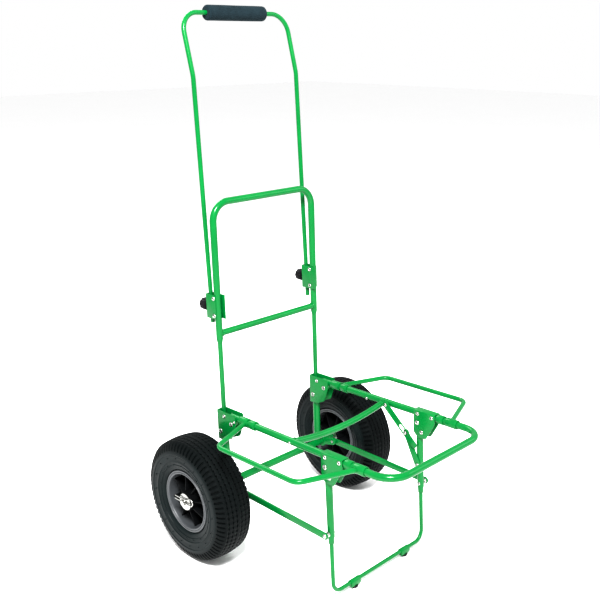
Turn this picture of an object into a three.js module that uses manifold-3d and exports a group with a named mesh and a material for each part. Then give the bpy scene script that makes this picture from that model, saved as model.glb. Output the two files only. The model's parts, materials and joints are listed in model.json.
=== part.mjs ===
// Folding garden cart: two tyred wheels on a steel tube frame, a telescopic handle,
// a folding platform with hinged side wings, and a folding front stand.
//
// Millimetres, +Z up. The platform points towards -Y, the handle stands towards +Y.
// "right" and "left" are as seen by the person holding the handle: right is -X, left is +X.
// The origin is at the bottom centre of the whole cart's box.
//
// The steelwork is square in a frame of its own, whose origin is the axle and which stands
// tipped back by CART_PITCH, because the front feet are shorter than the wheels are high.

import * as THREE from 'three';
import { mergeVertices } from 'three/addons/utils/BufferGeometryUtils.js';
import Module from 'manifold-3d';

const wasm = await Module();
wasm.setup();

// ---------------------------------------------------------------- driving dimensions

const GAP = 0.4; // between pieces that touch
const RUNNING_GAP = 0.7; // between a bore and what turns or slides in it
const CART_PITCH = THREE.MathUtils.degToRad(-2.5);

// Wheels and axle
const WHEEL_RADIUS = 130;
const TRACK = 430; // between the wheels' centre planes
const HUB_HALF = 34.5;
const RIM_FLANGE_RADIUS = 66;
const BARREL_RADIUS = 61;
const AXLE_RADIUS = 6;
const AXLE_HALF = 259;
const AXLE_TUBE_RADIUS = 8;
const WASHER = { radius: 18, thickness: 2 };
const HAIRPIN_WIRE = 1.5;

// Steel tubes: every leg and rail stands on the same two side planes
const SIDE_PLANE = 135;
const LEG_Y = 3;
const FRAME_TUBE = { radius: 7, wall: 1.2 };
const THIN_TUBE = { radius: 5, wall: 1.2 };
const LOWER_LEG_TUBE = { radius: 8, wall: 2.3 };
const RAIL_TUBE = { radius: 7, wall: 1.2 };
const WING_TUBE = { radius: 5, wall: 1.1 };
const HANDLE_TUBE = { radius: 4.5, wall: 1.1 };
const LOOP_TUBE = { radius: 4, wall: 1 };

// Heights in the cart's own frame are above the axle
const TOP_BAR_Z = 594;
const TOP_BEND_RADIUS = 38;
const CROSSBAR_Z = 330;
const CROSSBAR_RADIUS = 6.5;
const THIN_LEG_BOTTOM_Z = 76;
const LOWER_LEG_TOP_Z = 134;

// Handle, sliding along its own slightly steeper lean
const HANDLE_LEAN = THREE.MathUtils.degToRad(-1.9);
const HANDLE_FOOT = { y: 21.8, z: 351 };
const HANDLE_STRAIGHT = 482;
const HANDLE_BEND = THREE.MathUtils.degToRad(11.5);
const HANDLE_TOP_LENGTH = 121;
const HANDLE_CORNER_RADIUS = 38;
const GRIP = { length: 148, radius: 15 };

// Clamps that hold the handle to the back frame
const CLAMP = { height: 50, plate: 1.5, front: 0, innerFront: -10, web: 29 };
const CLAMP_Z = { right: 386, left: 395.5 };
const KNOB = { radius: 12.5, length: 16.5 };

// Platform
const RAIL_Z = 156;
const RAIL_TAIL_Y = -22;
const FRONT_BAR_Y = -450;
const PLATFORM_CORNER_RADIUS = 43;
const BOW = { y: -201.5, z: 154, sag: 12, radius: 6.5, wall: 1.1 };
const PLATFORM_PIVOT = { y: -32, z: 145 };

// Brackets
const PLATE = 1.5;
const REAR_BRACKET_INNER = 9.8; // from the side plane to the inside of a plate, clear of a wing sleeve
const FRONT_BRACKET_INNER = 7.7;
const PIN_RADIUS = 3;
const PIN_HEAD_RADIUS = 5;
const PIN_HEAD = 1.8;

// Wings that swing about the rails
const WING_OUTER_X = 247;
const WING = { rearRoot: -67, rearCorner: -113, frontCorner: -328, frontRoot: -373, bend: 22 };
const SLEEVE_Y = { rear: -63, front: -377 };
const SLEEVE_RADIUS = 9.3;
const SLEEVE_HALF = 13;
const COLLAR_LENGTH = 16;
const TOOTH_LENGTH = 6;

// Stand
const STAND_PIVOT = { y: -296, z: 137 };
const STAND_LEAN = THREE.MathUtils.degToRad(-1.5);
const STAND_LEG = { radius: 7, top: 6, swage: -146, bottom: -158 };
const STRUT_DROP = 137; // from the stand's pivot down to the strut's rivet
const LOOP_DROP = 265.5;
const LOOP_CORNER_RADIUS = 22;
const FOOT_X = 76;

// Struts between the axle and the stand
const STRUT = { inner: 149.4, thickness: 3, halfWidth: 7 };

// Locking brace, on the left side only
const BRACE = {
  top: { y: -216, z: 155.5 },
  middle: { y: -268.5, z: 107.8 },
  foot: { y: -298.45, z: 43.6 },
  upperX: 121.4,
  lowerX: 124.7,
  thickness: 2.2,
  halfWidth: 7.2,
  slot: { halfWidth: 4.7, back: 15.6, front: 0.7 }, // the middle pin's travel, from where it stands open
  tab: 30,
};

const SIDES = { right: -1, left: 1 };

// ---------------------------------------------------------------- finishes

const finish = (color, roughness, metalness) => new THREE.MeshStandardMaterial({ color, roughness, metalness });

const greenPaint = () => finish(0x12b84c, 0.35, 0.1);
const tyreRubber = () => finish(0x1d2123, 0.85, 0);
const rimPlastic = () => finish(0x3b3f42, 0.55, 0);
const blackPlastic = () => finish(0x101112, 0.5, 0);
const foam = () => finish(0x262b31, 0.95, 0);
const zinc = () => finish(0xd5d6d2, 0.3, 0.9);

// ---------------------------------------------------------------- solids

/** Joins shared vertices and drops triangles without area, so that a shape is one closed body. */
function closedBody(geometry) {
  const bare = geometry.index ? geometry.toNonIndexed() : geometry.clone();
  bare.deleteAttribute('normal');
  bare.deleteAttribute('uv');
  const merged = mergeVertices(bare, 1e-4);
  const kept = [];
  for (let i = 0; i < merged.index.count; i += 3) {
    const [a, b, c] = [0, 1, 2].map((k) => merged.index.getX(i + k));
    if (a !== b && b !== c && c !== a) kept.push(a, b, c);
  }
  merged.setIndex(kept);
  return merged;
}

function toSolid(geometry) {
  const body = closedBody(geometry);
  return new wasm.Manifold(
    new wasm.Mesh({
      numProp: 3,
      vertProperties: new Float32Array(body.attributes.position.array),
      triVerts: new Uint32Array(body.index.array),
    }),
  );
}

function toGeometry(solid) {
  const mesh = solid.getMesh();
  const geometry = new THREE.BufferGeometry();
  geometry.setAttribute('position', new THREE.BufferAttribute(new Float32Array(mesh.vertProperties), 3));
  geometry.setIndex(new THREE.BufferAttribute(new Uint32Array(mesh.triVerts), 1));
  return geometry;
}

/** One body out of several that overlap, less every shape in the second list. */
function weld(shapes, cuts = []) {
  let solid = toSolid(shapes[0]);
  for (const shape of shapes.slice(1)) {
    solid = solid.add(toSolid(shape));
  }
  for (const cut of cuts) {
    solid = solid.subtract(toSolid(cut));
  }
  return toGeometry(solid);
}

function circlePoints(radius, sides, from = 0, to = Math.PI * 2) {
  const closed = Math.abs(to - from - Math.PI * 2) < 1e-9;
  const count = closed ? sides : sides + 1;
  return Array.from({ length: count }, (_, i) => {
    const angle = from + ((to - from) * i) / sides;
    return new THREE.Vector2(radius * Math.cos(angle), radius * Math.sin(angle));
  });
}

/** A path through corners, each rounded with a radius, with one station for every ring of the tube. */
class BentPath extends THREE.Curve {
  constructor(corners, bendRadius, stepsPerBend = 4) {
    super();
    this.stations = [corners[0]];
    this.tangents = [corners[1].clone().sub(corners[0]).normalize()];
    for (let i = 1; i < corners.length - 1; i += 1) {
      const into = corners[i].clone().sub(corners[i - 1]).normalize();
      const out = corners[i + 1].clone().sub(corners[i]).normalize();
      const turn = into.angleTo(out);
      const axis = into.clone().cross(out).normalize();
      const radius = Array.isArray(bendRadius) ? bendRadius[i - 1] : bendRadius;
      const start = corners[i].clone().addScaledVector(into, -radius * Math.tan(turn / 2));
      const centre = start.clone().addScaledVector(axis.clone().cross(into), radius);
      for (let k = 0; k <= stepsPerBend; k += 1) {
        const angle = (turn * k) / stepsPerBend;
        this.stations.push(start.clone().sub(centre).applyAxisAngle(axis, angle).add(centre));
        this.tangents.push(into.clone().applyAxisAngle(axis, angle));
      }
    }
    this.stations.push(corners.at(-1));
    this.tangents.push(corners.at(-1).clone().sub(corners.at(-2)).normalize());
  }

  get steps() {
    return this.stations.length - 1;
  }

  getPoint(t, target = new THREE.Vector3()) {
    return target.copy(this.stations[Math.round(t * this.steps)]);
  }

  getPointAt(t, target) {
    return this.getPoint(t, target);
  }

  getTangentAt(t, target = new THREE.Vector3()) {
    return target.copy(this.tangents[Math.round(t * this.steps)]);
  }
}

/** A shallow arc across the cart, square at both ends. */
class BowPath extends THREE.Curve {
  constructor(end, steps = 8) {
    super();
    this.steps = steps;
    this.radius = (end * end + BOW.sag * BOW.sag) / (2 * BOW.sag);
    this.spread = Math.asin(end / this.radius);
  }

  getPoint(t, target = new THREE.Vector3()) {
    const angle = this.spread * (2 * t - 1);
    const lift = this.radius * (1 - Math.cos(angle));
    return target.set(this.radius * Math.sin(angle), BOW.y, BOW.z - BOW.sag + lift);
  }

  getPointAt(t, target) {
    return this.getPoint(t, target);
  }

  getTangentAt(t, target = new THREE.Vector3()) {
    const angle = t > 0 && t < 1 ? this.spread * (2 * t - 1) : 0;
    return target.set(Math.cos(angle), 0, Math.sin(angle));
  }
}

function bar(path, radius, sides) {
  const shape = new THREE.Shape(circlePoints(radius, sides));
  return new THREE.ExtrudeGeometry(shape, { steps: path.steps, extrudePath: path });
}

/** A hollow tube, open at both ends. */
function tube(path, { radius, wall }, sides = 10) {
  const shape = new THREE.Shape(circlePoints(radius, sides));
  shape.holes.push(new THREE.Path(circlePoints(radius - wall, sides)));
  return new THREE.ExtrudeGeometry(shape, { steps: path.steps, extrudePath: path });
}

/** A turned piece about +Y: a profile of [radius, height] that ends on the axis or closes on itself. */
function turned(profile, segments) {
  return new THREE.LatheGeometry(
    profile.map(([radius, height]) => new THREE.Vector2(radius, height)),
    segments,
  );
}

/** A turned piece about X. The profile's heights become x. */
const turnedAlongX = (profile, segments) => turned(profile, segments).rotateZ(-Math.PI / 2);

/** A turned piece about Z. The profile's heights become z. */
const turnedAlongZ = (profile, segments) => turned(profile, segments).rotateX(Math.PI / 2);

/** A rod about X through a point of the side view. */
function rodAlongX(radius, x0, x1, y, z, sides = 8) {
  const profile = [
    [0, x0],
    [radius, x0],
    [radius, x1],
    [0, x1],
  ];
  return turnedAlongX(profile, sides).translate(0, y, z);
}

/** A ring about X through a point of the side view. */
function ringAlongX(outer, inner, x0, x1, y, z, sides = 12) {
  const profile = [
    [outer, x0],
    [outer, x1],
    [inner, x1],
    [inner, x0],
    [outer, x0],
  ];
  return turnedAlongX(profile, sides).translate(0, y, z);
}

/** A plate seen from the side: an outline of [y, z] points, from x0 to x1. */
function sidePlate(outline, x0, x1) {
  const shape = new THREE.Shape(outline.map(([y, z]) => new THREE.Vector2(y, z)));
  const plate = new THREE.ExtrudeGeometry(shape, { depth: x1 - x0, bevelEnabled: false });
  const toSide = new THREE.Matrix4().makeBasis(
    new THREE.Vector3(0, 1, 0),
    new THREE.Vector3(0, 0, 1),
    new THREE.Vector3(1, 0, 0),
  );
  return plate.applyMatrix4(toSide).translate(x0, 0, 0);
}

/** The side outline of a flat link with round ends, from one eye to the other. */
function linkOutline(a, b, halfWidth, endSteps = 6) {
  const angle = Math.atan2(b.z - a.z, b.y - a.y);
  const end = (eye, from) =>
    circlePoints(halfWidth, endSteps, from, from + Math.PI).map((p) => [p.x + eye.y, p.y + eye.z]);
  return [...end(a, angle + Math.PI / 2), ...end(b, angle - Math.PI / 2)];
}

function block(x0, x1, y0, y1, z0, z1) {
  const box = new THREE.BoxGeometry(x1 - x0, y1 - y0, z1 - z0);
  return box.translate((x0 + x1) / 2, (y0 + y1) / 2, (z0 + z1) / 2);
}

const vector = (x, y, z) => new THREE.Vector3(x, y, z);
const straight = (a, b) => new BentPath([a, b], 0);

/** The same x span on either side of the cart. */
const span = (side, near, far) => (side > 0 ? [near, far] : [-far, -near]);

function piece(name, geometry, material) {
  const mesh = new THREE.Mesh(geometry, material);
  mesh.name = name;
  return mesh;
}

// ---------------------------------------------------------------- wheels and axle

/** Tyre: a hollow casing with a flat crown, open towards the rim. */
function tyreGeometry() {
  const half = [
    [WHEEL_RADIUS, 21],
    [WHEEL_RADIUS - 10, 36],
    [WHEEL_RADIUS - 30, 42],
    [RIM_FLANGE_RADIUS + 14, 40],
    [RIM_FLANGE_RADIUS + 1.4, 34],
    [RIM_FLANGE_RADIUS + 1, 30],
    [BARREL_RADIUS + GAP, 29.6],
    [BARREL_RADIUS + GAP, 22],
    [WHEEL_RADIUS - 36, 32],
    [WHEEL_RADIUS - 10, 20],
  ];
  const mirrored = half.map(([radius, x]) => [radius, -x]).reverse();
  return turnedAlongX([...half, ...mirrored, half[0]], 28);
}

/** Rim: barrel between two flanges, one web, and a hub with a bore for its bush. */
function rimGeometry() {
  const half = [
    [BARREL_RADIUS, 30.4],
    [RIM_FLANGE_RADIUS, 31],
    [RIM_FLANGE_RADIUS - 1.5, HUB_HALF],
    [RIM_FLANGE_RADIUS - 8.5, HUB_HALF],
    [BARREL_RADIUS - 4, 5],
    [21, 5],
    [20, HUB_HALF - 0.8],
    [9, HUB_HALF - 0.8],
  ];
  const mirrored = half.map(([radius, x]) => [radius, -x]).reverse();
  return turnedAlongX([...half, ...mirrored, half[0]], 24);
}

/** Hairpin: one prong through the axle, a ring in front of it, the other prong over the axle. */
function hairpinGeometry() {
  const route = [
    vector(0, 28, 0.5),
    vector(0, -31, 0),
    vector(0, -31, 20),
    vector(0, -11, 8.6),
    vector(0, 27, 7.2),
  ];
  return bar(new BentPath(route, [8, 7, 12], 3), HAIRPIN_WIRE, 6);
}

function axleRod() {
  const hole = (side) => {
    const x = side * (AXLE_HALF - 4.6);
    return bar(straight(vector(x, -9, 0), vector(x, 9, 0)), HAIRPIN_WIRE + 0.6, 6);
  };
  return weld([rodAlongX(AXLE_RADIUS, -AXLE_HALF, AXLE_HALF, 0, 0, 12)], [hole(-1), hole(1)]);
}

function addWheel(cart, name, side) {
  const wheel = new THREE.Group();
  wheel.position.x = (side * TRACK) / 2;
  const bush = ringAlongX(8.5, AXLE_RADIUS + RUNNING_GAP, -HUB_HALF, HUB_HALF, 0, 0);
  wheel.add(piece(`tyre_${name}`, tyreGeometry(), tyreRubber()));
  wheel.add(piece(`wheel_rim_${name}`, rimGeometry(), rimPlastic()));
  wheel.add(piece(`hub_bush_${name}`, bush, zinc()));
  for (const [place, way] of [['outer', 1], ['inner', -1]]) {
    const near = HUB_HALF + 0.3;
    const [x0, x1] = span(side * way, near, near + WASHER.thickness);
    const washer = ringAlongX(WASHER.radius, AXLE_RADIUS + GAP, x0, x1, 0, 0);
    wheel.add(piece(`${place}_washer_${name}`, washer, zinc()));
  }
  const hairpin = piece(`hairpin_${name}`, hairpinGeometry(), zinc());
  hairpin.position.x = side * (AXLE_HALF - 4.6 - TRACK / 2);
  wheel.add(hairpin);
  cart.add(wheel);
}

function addAxle(cart) {
  const tubeEnd = TRACK / 2 - HUB_HALF - WASHER.thickness - 1;
  const axleTube = ringAlongX(AXLE_TUBE_RADIUS, AXLE_RADIUS + GAP, -tubeEnd, tubeEnd, 0, 0);
  cart.add(piece('axle_tube', axleTube, greenPaint()));
  cart.add(piece('axle_rod', axleRod(), zinc()));
}

// ---------------------------------------------------------------- back frame

/** Back frame: an upside-down U with a crossbar, its legs drawn down to a thinner size below it. */
function backFrame() {
  const swageZ = CROSSBAR_Z - 12;
  const arch = (end) => [
    vector(-SIDE_PLANE, LEG_Y, end),
    vector(-SIDE_PLANE, LEG_Y, TOP_BAR_Z),
    vector(SIDE_PLANE, LEG_Y, TOP_BAR_Z),
    vector(SIDE_PLANE, LEG_Y, end),
  ];
  const bore = FRAME_TUBE.radius - FRAME_TUBE.wall;
  const outside = [bar(new BentPath(arch(swageZ), TOP_BEND_RADIUS), FRAME_TUBE.radius, 10)];
  const inside = [bar(new BentPath(arch(swageZ + 26), TOP_BEND_RADIUS), bore, 10)];
  const crossbar = straight(vector(-SIDE_PLANE, LEG_Y, CROSSBAR_Z), vector(SIDE_PLANE, LEG_Y, CROSSBAR_Z));
  outside.push(bar(crossbar, CROSSBAR_RADIUS, 8));
  inside.push(bar(crossbar, CROSSBAR_RADIUS - THIN_TUBE.wall, 8));
  for (const side of Object.values(SIDES)) {
    const x = side * SIDE_PLANE;
    const leg = straight(vector(x, LEG_Y, THIN_LEG_BOTTOM_Z), vector(x, LEG_Y, swageZ + 10));
    const legBore = straight(vector(x, LEG_Y, THIN_LEG_BOTTOM_Z - 5), vector(x, LEG_Y, swageZ + 27));
    outside.push(bar(leg, THIN_TUBE.radius, 8));
    inside.push(bar(legBore, THIN_TUBE.radius - THIN_TUBE.wall, 8));
  }
  return weld(outside, inside);
}

/** Lower leg: a thick tube on the thin leg's end, coped to sit on the axle tube. */
function lowerLeg(side) {
  const { radius, wall } = LOWER_LEG_TUBE;
  const x = side * SIDE_PLANE;
  const leg = tube(straight(vector(x, LEG_Y, 1), vector(x, LEG_Y, LOWER_LEG_TOP_Z)), { radius, wall }, 12);
  const cope = rodAlongX(AXLE_TUBE_RADIUS + GAP, x - 15, x + 15, 0, 0, 12);
  return weld([leg], [cope]);
}

/** Rear bracket: a channel folded round the leg from behind, with two cheeks for the platform. */
function rearBracket(side) {
  const x = side * SIDE_PLANE;
  const webY = LEG_Y + LOWER_LEG_TUBE.radius + 0.5;
  const outline = [
    [webY + PLATE, 102],
    [webY + PLATE, 166],
    [-42, 166],
    [-46, 162],
    [-46, 147],
    [-33, 113],
    [-8, 102],
  ];
  const outer = REAR_BRACKET_INNER + PLATE;
  const body = sidePlate(outline, x - outer, x + outer);
  const throat = block(x - REAR_BRACKET_INNER, x + REAR_BRACKET_INNER, -80, webY, 90, 180);
  const pivot = rodAlongX(PIN_RADIUS + GAP, x - 20, x + 20, PLATFORM_PIVOT.y, PLATFORM_PIVOT.z);
  return weld([body], [throat, pivot]);
}

/** Lug on the axle tube that carries the rear end of a strut. */
function strutLug(side, pivot) {
  const [x0, x1] = span(side, SIDE_PLANE + LOWER_LEG_TUBE.radius + 1, STRUT.inner - GAP);
  const arm = sidePlate(linkOutline({ y: 0, z: 0 }, pivot, 8.5), x0, x1);
  const ring = ringAlongX(13, 7, x0, x1, 0, 0, 16);
  const bore = rodAlongX(AXLE_TUBE_RADIUS + GAP, x0 - 5, x1 + 5, 0, 0, 16);
  const hole = rodAlongX(PIN_RADIUS + GAP, x0 - 5, x1 + 5, pivot.y, pivot.z);
  return weld([arm, ring], [bore, hole]);
}

/** Where the strut turns on its lug: the strut and the platform stay parallel. */
function strutRearPivot() {
  const drop = vector(0, 0, -STRUT_DROP).applyAxisAngle(vector(1, 0, 0), STAND_LEAN);
  return { y: PLATFORM_PIVOT.y + drop.y, z: PLATFORM_PIVOT.z + drop.z };
}

function addBackFrame(cart) {
  cart.add(piece('back_frame', backFrame(), greenPaint()));
  for (const [name, side] of Object.entries(SIDES)) {
    cart.add(piece(`lower_leg_${name}`, lowerLeg(side), greenPaint()));
    cart.add(piece(`rear_bracket_${name}`, rearBracket(side), greenPaint()));
    cart.add(piece(`strut_lug_${name}`, strutLug(side, strutRearPivot()), greenPaint()));
  }
}

// ---------------------------------------------------------------- handle and its clamps

/** Clamp: a channel riveted to the frame leg, with a saddle in front of the handle's leg. */
function handleClamp(side, z) {
  const x = side * SIDE_PLANE;
  const inner = FRAME_TUBE.radius + GAP;
  const outer = inner + CLAMP.plate;
  const [z0, z1] = [z - CLAMP.height / 2, z + CLAMP.height / 2];
  const channel = block(x - outer, x + outer, CLAMP.front, CLAMP.web + CLAMP.plate, z0, z1);
  const throat = block(x - inner, x + inner, -10, CLAMP.web, z0 - 5, z1 + 5);
  const saddle = block(x - inner - 0.5, x + inner + 0.5, 10.6, 16.2, z0 + 12, z1 - 12);
  const [x0, x1] = span(side, SIDE_PLANE - outer, SIDE_PLANE - inner);
  const innerCheek = block(x0, x1, CLAMP.innerFront, CLAMP.front + 1, z0, z1);
  const screwHole = bar(straight(vector(x, 20, z), vector(x, 40, z)), 3.3, 8);
  return weld([weld([channel], [throat]), saddle, innerCheek], [screwHole]);
}

/** Knob with its stud, which presses on the handle's leg through the clamp's web. */
function clampKnob() {
  const webBack = CLAMP.web + CLAMP.plate;
  const profile = [
    [0, 28.2],
    [2.7, 28.2],
    [2.7, webBack + 0.5],
    [5, webBack + 0.5],
    [5, webBack + 3.5],
    [KNOB.radius - 1.5, webBack + 3.5],
    [KNOB.radius, webBack + 5.5],
    [KNOB.radius, webBack + KNOB.length],
    [KNOB.radius - 2.5, webBack + 3.5 + KNOB.length],
    [0, webBack + 3.5 + KNOB.length],
  ];
  return turned(profile, 12);
}

/** Handle: two straight legs, bent back near the top, joined by the bar that carries the grip. */
function handleTube() {
  const top = vector(0, 0, HANDLE_TOP_LENGTH).applyAxisAngle(vector(1, 0, 0), -HANDLE_BEND);
  const up = (side) => [
    vector(side * SIDE_PLANE, 0, 0),
    vector(side * SIDE_PLANE, 0, HANDLE_STRAIGHT),
    vector(side * SIDE_PLANE, top.y, HANDLE_STRAIGHT + top.z),
  ];
  const corners = [...up(-1), ...up(1).reverse()];
  const bends = [60, HANDLE_CORNER_RADIUS, HANDLE_CORNER_RADIUS, 60];
  return tube(new BentPath(corners, bends, 3), HANDLE_TUBE, 8);
}

/** Foam grip: a soft sleeve with rounded ends on the handle's top bar. */
function foamGrip() {
  const { length, radius } = GRIP;
  const end = length / 2;
  const bore = HANDLE_TUBE.radius + GAP;
  const profile = [
    [radius - 3.5, -end],
    [radius - 1, -end + 1.2],
    [radius, -end + 4],
    [radius, end - 4],
    [radius - 1, end - 1.2],
    [radius - 3.5, end],
    [bore, end],
    [bore, -end],
    [radius - 3.5, -end],
  ];
  const top = vector(0, 0, HANDLE_TOP_LENGTH).applyAxisAngle(vector(1, 0, 0), -HANDLE_BEND);
  return turnedAlongX(profile, 16).translate(0, top.y, HANDLE_STRAIGHT + top.z);
}

function addHandle(cart) {
  const handle = new THREE.Group();
  handle.position.set(0, HANDLE_FOOT.y, HANDLE_FOOT.z);
  handle.rotation.x = HANDLE_LEAN;
  handle.add(piece('handle_tube', handleTube(), greenPaint()));
  handle.add(piece('foam_grip', foamGrip(), foam()));
  cart.add(handle);
  for (const [name, side] of Object.entries(SIDES)) {
    cart.add(piece(`handle_clamp_${name}`, handleClamp(side, CLAMP_Z[name]), greenPaint()));
    const knob = piece(`clamp_knob_${name}`, clampKnob(), blackPlastic());
    knob.position.set(side * SIDE_PLANE, 0, CLAMP_Z[name]);
    cart.add(knob);
  }
}

// ---------------------------------------------------------------- platform

/** Platform frame: a U of rails and front bar, with a lug under each tail for its pivot. */
function platformFrame() {
  const corners = [
    vector(-SIDE_PLANE, RAIL_TAIL_Y, RAIL_Z),
    vector(-SIDE_PLANE, FRONT_BAR_Y, RAIL_Z),
    vector(SIDE_PLANE, FRONT_BAR_Y, RAIL_Z),
    vector(SIDE_PLANE, RAIL_TAIL_Y, RAIL_Z),
  ];
  const shapes = [tube(new BentPath(corners, PLATFORM_CORNER_RADIUS, 5), RAIL_TUBE, 10)];
  const cuts = [];
  for (const side of Object.values(SIDES)) {
    const x = side * SIDE_PLANE;
    const { y, z } = PLATFORM_PIVOT;
    const lug = linkOutline({ y, z }, { y, z: z + 5.5 }, 6.2);
    shapes.push(sidePlate(lug, x - 5, x + 5));
    cuts.push(rodAlongX(PIN_RADIUS + GAP, x - 20, x + 20, y, z));
  }
  const braceHole = span(SIDES.left, BRACE.upperX - 5, SIDE_PLANE - 3);
  cuts.push(rodAlongX(PIN_RADIUS + GAP, ...braceHole, BRACE.top.y, BRACE.top.z));
  return weld(shapes, cuts);
}

/** Cross bow: a tube between the rails that sags in the middle, so that folded wings lie over it. */
function crossBow() {
  const end = SIDE_PLANE - RAIL_TUBE.radius - GAP;
  return tube(new BowPath(end), BOW, 8);
}

/** Front bracket: a saddle over the rail, whose cheeks hold the stand's leg and its stop. */
function frontBracket(side) {
  const x = side * SIDE_PLANE;
  const webZ = RAIL_Z + RAIL_TUBE.radius + GAP;
  const outline = [
    [-287, webZ + PLATE],
    [-287, 116],
    [-297, 106],
    [-318, 106],
    [-340, 144],
    [-340, webZ + PLATE],
  ];
  const outer = FRONT_BRACKET_INNER + PLATE;
  const body = sidePlate(outline, x - outer, x + outer);
  const throat = block(x - FRONT_BRACKET_INNER, x + FRONT_BRACKET_INNER, -360, -270, 90, webZ);
  const pivot = rodAlongX(PIN_RADIUS + GAP, x - 20, x + 20, STAND_PIVOT.y, STAND_PIVOT.z);
  const stop = rodAlongX(PIN_RADIUS, x - outer - PIN_HEAD, x + outer + PIN_HEAD, -307.4, 119);
  const solid = toSolid(body).subtract(toSolid(throat)).subtract(toSolid(pivot)).add(toSolid(stop));
  return toGeometry(solid);
}

/** Part of a ring about Y, between two angles counted from outward (+X on the left side) to up. */
function ringSector(y0, y1, inner, from, to, sides) {
  const arc = (radius) => circlePoints(radius, sides, from, to);
  const shape = new THREE.Shape([...arc(SLEEVE_RADIUS), ...arc(inner).reverse()]);
  const sector = new THREE.ExtrudeGeometry(shape, { depth: y1 - y0, bevelEnabled: false });
  return sector.rotateX(Math.PI / 2).translate(0, y1, 0);
}

function fullRing(y0, y1, inner) {
  const profile = [
    [SLEEVE_RADIUS, y0],
    [SLEEVE_RADIUS, y1],
    [inner, y1],
    [inner, y0],
    [SLEEVE_RADIUS, y0],
  ];
  return turned(profile, 12);
}

const degrees = THREE.MathUtils.degToRad;
const WING_TOOTH = [degrees(-40), degrees(40)];
const COLLAR_TOOTH = [degrees(222), degrees(318)];
const WING_JOINTS = [
  { place: 'rear', body: SLEEVE_Y.rear, way: -1 },
  { place: 'front', body: SLEEVE_Y.front, way: 1 },
];

/** The two teeth's band along the rail, where a wing's sleeve meets its fixed collar. */
function toothBand({ body, way }) {
  const start = body + way * SLEEVE_HALF;
  return way > 0 ? [start, start + TOOTH_LENGTH] : [start - TOOTH_LENGTH, start];
}

/** Turns an angle range of the left side into the right side's mirror image. */
const mirroredArc = (side, [from, to]) => (side > 0 ? [from, to] : [Math.PI - to, Math.PI - from]);

/** Fixed collar on a rail: a ring with one tooth that stops the wing at both ends of its swing. */
function wingCollar(side, joint) {
  const [t0, t1] = toothBand(joint);
  const bore = RAIL_TUBE.radius + GAP;
  const [from, to] = mirroredArc(side, COLLAR_TOOTH);
  const ring = joint.way > 0 ? [t1, t1 + COLLAR_LENGTH] : [t0 - COLLAR_LENGTH, t0];
  const tooth = joint.way > 0 ? [t0 + GAP, t1 + 0.5] : [t0 - 0.5, t1 - GAP];
  return weld([fullRing(...ring, bore), ringSector(...tooth, bore, from, to, 4)]);
}

/** Wing: a bent bar with a sleeve at each end that turns on the rail. */
function wing(side) {
  const corners = [
    vector(0, WING.rearRoot, 0),
    vector(side * (WING_OUTER_X - SIDE_PLANE), WING.rearCorner, 0),
    vector(side * (WING_OUTER_X - SIDE_PLANE), WING.frontCorner, 0),
    vector(0, WING.frontRoot, 0),
  ];
  const bore = RAIL_TUBE.radius + RUNNING_GAP;
  const path = new BentPath(corners, WING.bend, 3);
  const shapes = [bar(path, WING_TUBE.radius, 8)];
  const cuts = [bar(path, WING_TUBE.radius - WING_TUBE.wall, 8)];
  for (const joint of WING_JOINTS) {
    const [t0, t1] = toothBand(joint);
    const [from, to] = mirroredArc(side, WING_TOOTH);
    const tooth = joint.way > 0 ? [t0 - 0.5, t1 - GAP] : [t0 + GAP, t1 + 0.5];
    shapes.push(fullRing(joint.body - SLEEVE_HALF, joint.body + SLEEVE_HALF, bore));
    shapes.push(ringSector(...tooth, bore, from, to, 4));
    const ends = [vector(0, joint.body - 30, 0), vector(0, joint.body + 30, 0)];
    cuts.push(bar(straight(...ends), bore, 12));
  }
  return weld(shapes, cuts);
}

function addPlatform(cart) {
  cart.add(piece('platform_frame', platformFrame(), greenPaint()));
  cart.add(piece('cross_bow', crossBow(), greenPaint()));
  for (const [name, side] of Object.entries(SIDES)) {
    cart.add(piece(`front_bracket_${name}`, frontBracket(side), greenPaint()));
    cart.add(piece(`platform_pin_${name}`, throughPin(side, REAR_BRACKET_INNER, PLATFORM_PIVOT), zinc()));
    const rail = new THREE.Group();
    rail.position.set(side * SIDE_PLANE, 0, RAIL_Z);
    rail.add(piece(`wing_${name}`, wing(side), greenPaint()));
    for (const joint of WING_JOINTS) {
      rail.add(piece(`wing_collar_${joint.place}_${name}`, wingCollar(side, joint), greenPaint()));
    }
    cart.add(rail);
  }
}

// ---------------------------------------------------------------- pins

/** Pin through two cheeks and what turns between them, with a head at each end. */
function throughPin(side, inner, { y, z }) {
  const face = inner + PLATE + 0.3;
  const x = side * SIDE_PLANE;
  const profile = [
    [0, -face - PIN_HEAD],
    [PIN_HEAD_RADIUS - 1.4, -face - PIN_HEAD],
    [PIN_HEAD_RADIUS, -face],
    [PIN_RADIUS, -face],
    [PIN_RADIUS, face],
    [PIN_HEAD_RADIUS, face],
    [PIN_HEAD_RADIUS - 1.4, face + PIN_HEAD],
    [0, face + PIN_HEAD],
  ];
  return turnedAlongX(profile, 8).translate(x, y, z);
}

/** Pin with a head outside, a shank through a link, a shoulder, and a second shank behind it. */
function shoulderPin(side, { head, link, shoulder, tail }, { y, z }) {
  const stations = [
    [0, head],
    [PIN_HEAD_RADIUS, head],
    [PIN_HEAD_RADIUS, link[1]],
    [PIN_RADIUS, link[1]],
    [PIN_RADIUS, link[0]],
    [PIN_HEAD_RADIUS, link[0]],
    [PIN_HEAD_RADIUS, shoulder],
    [PIN_RADIUS, shoulder],
    [PIN_RADIUS, tail],
    [0, tail],
  ];
  const profile = stations.map(([radius, x]) => [radius, side * x]);
  const rising = profile[0][1] < profile.at(-1)[1];
  return turnedAlongX(rising ? profile : profile.reverse(), 8).translate(0, y, z);
}

// ---------------------------------------------------------------- stand, in a frame whose origin is its pivot

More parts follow.
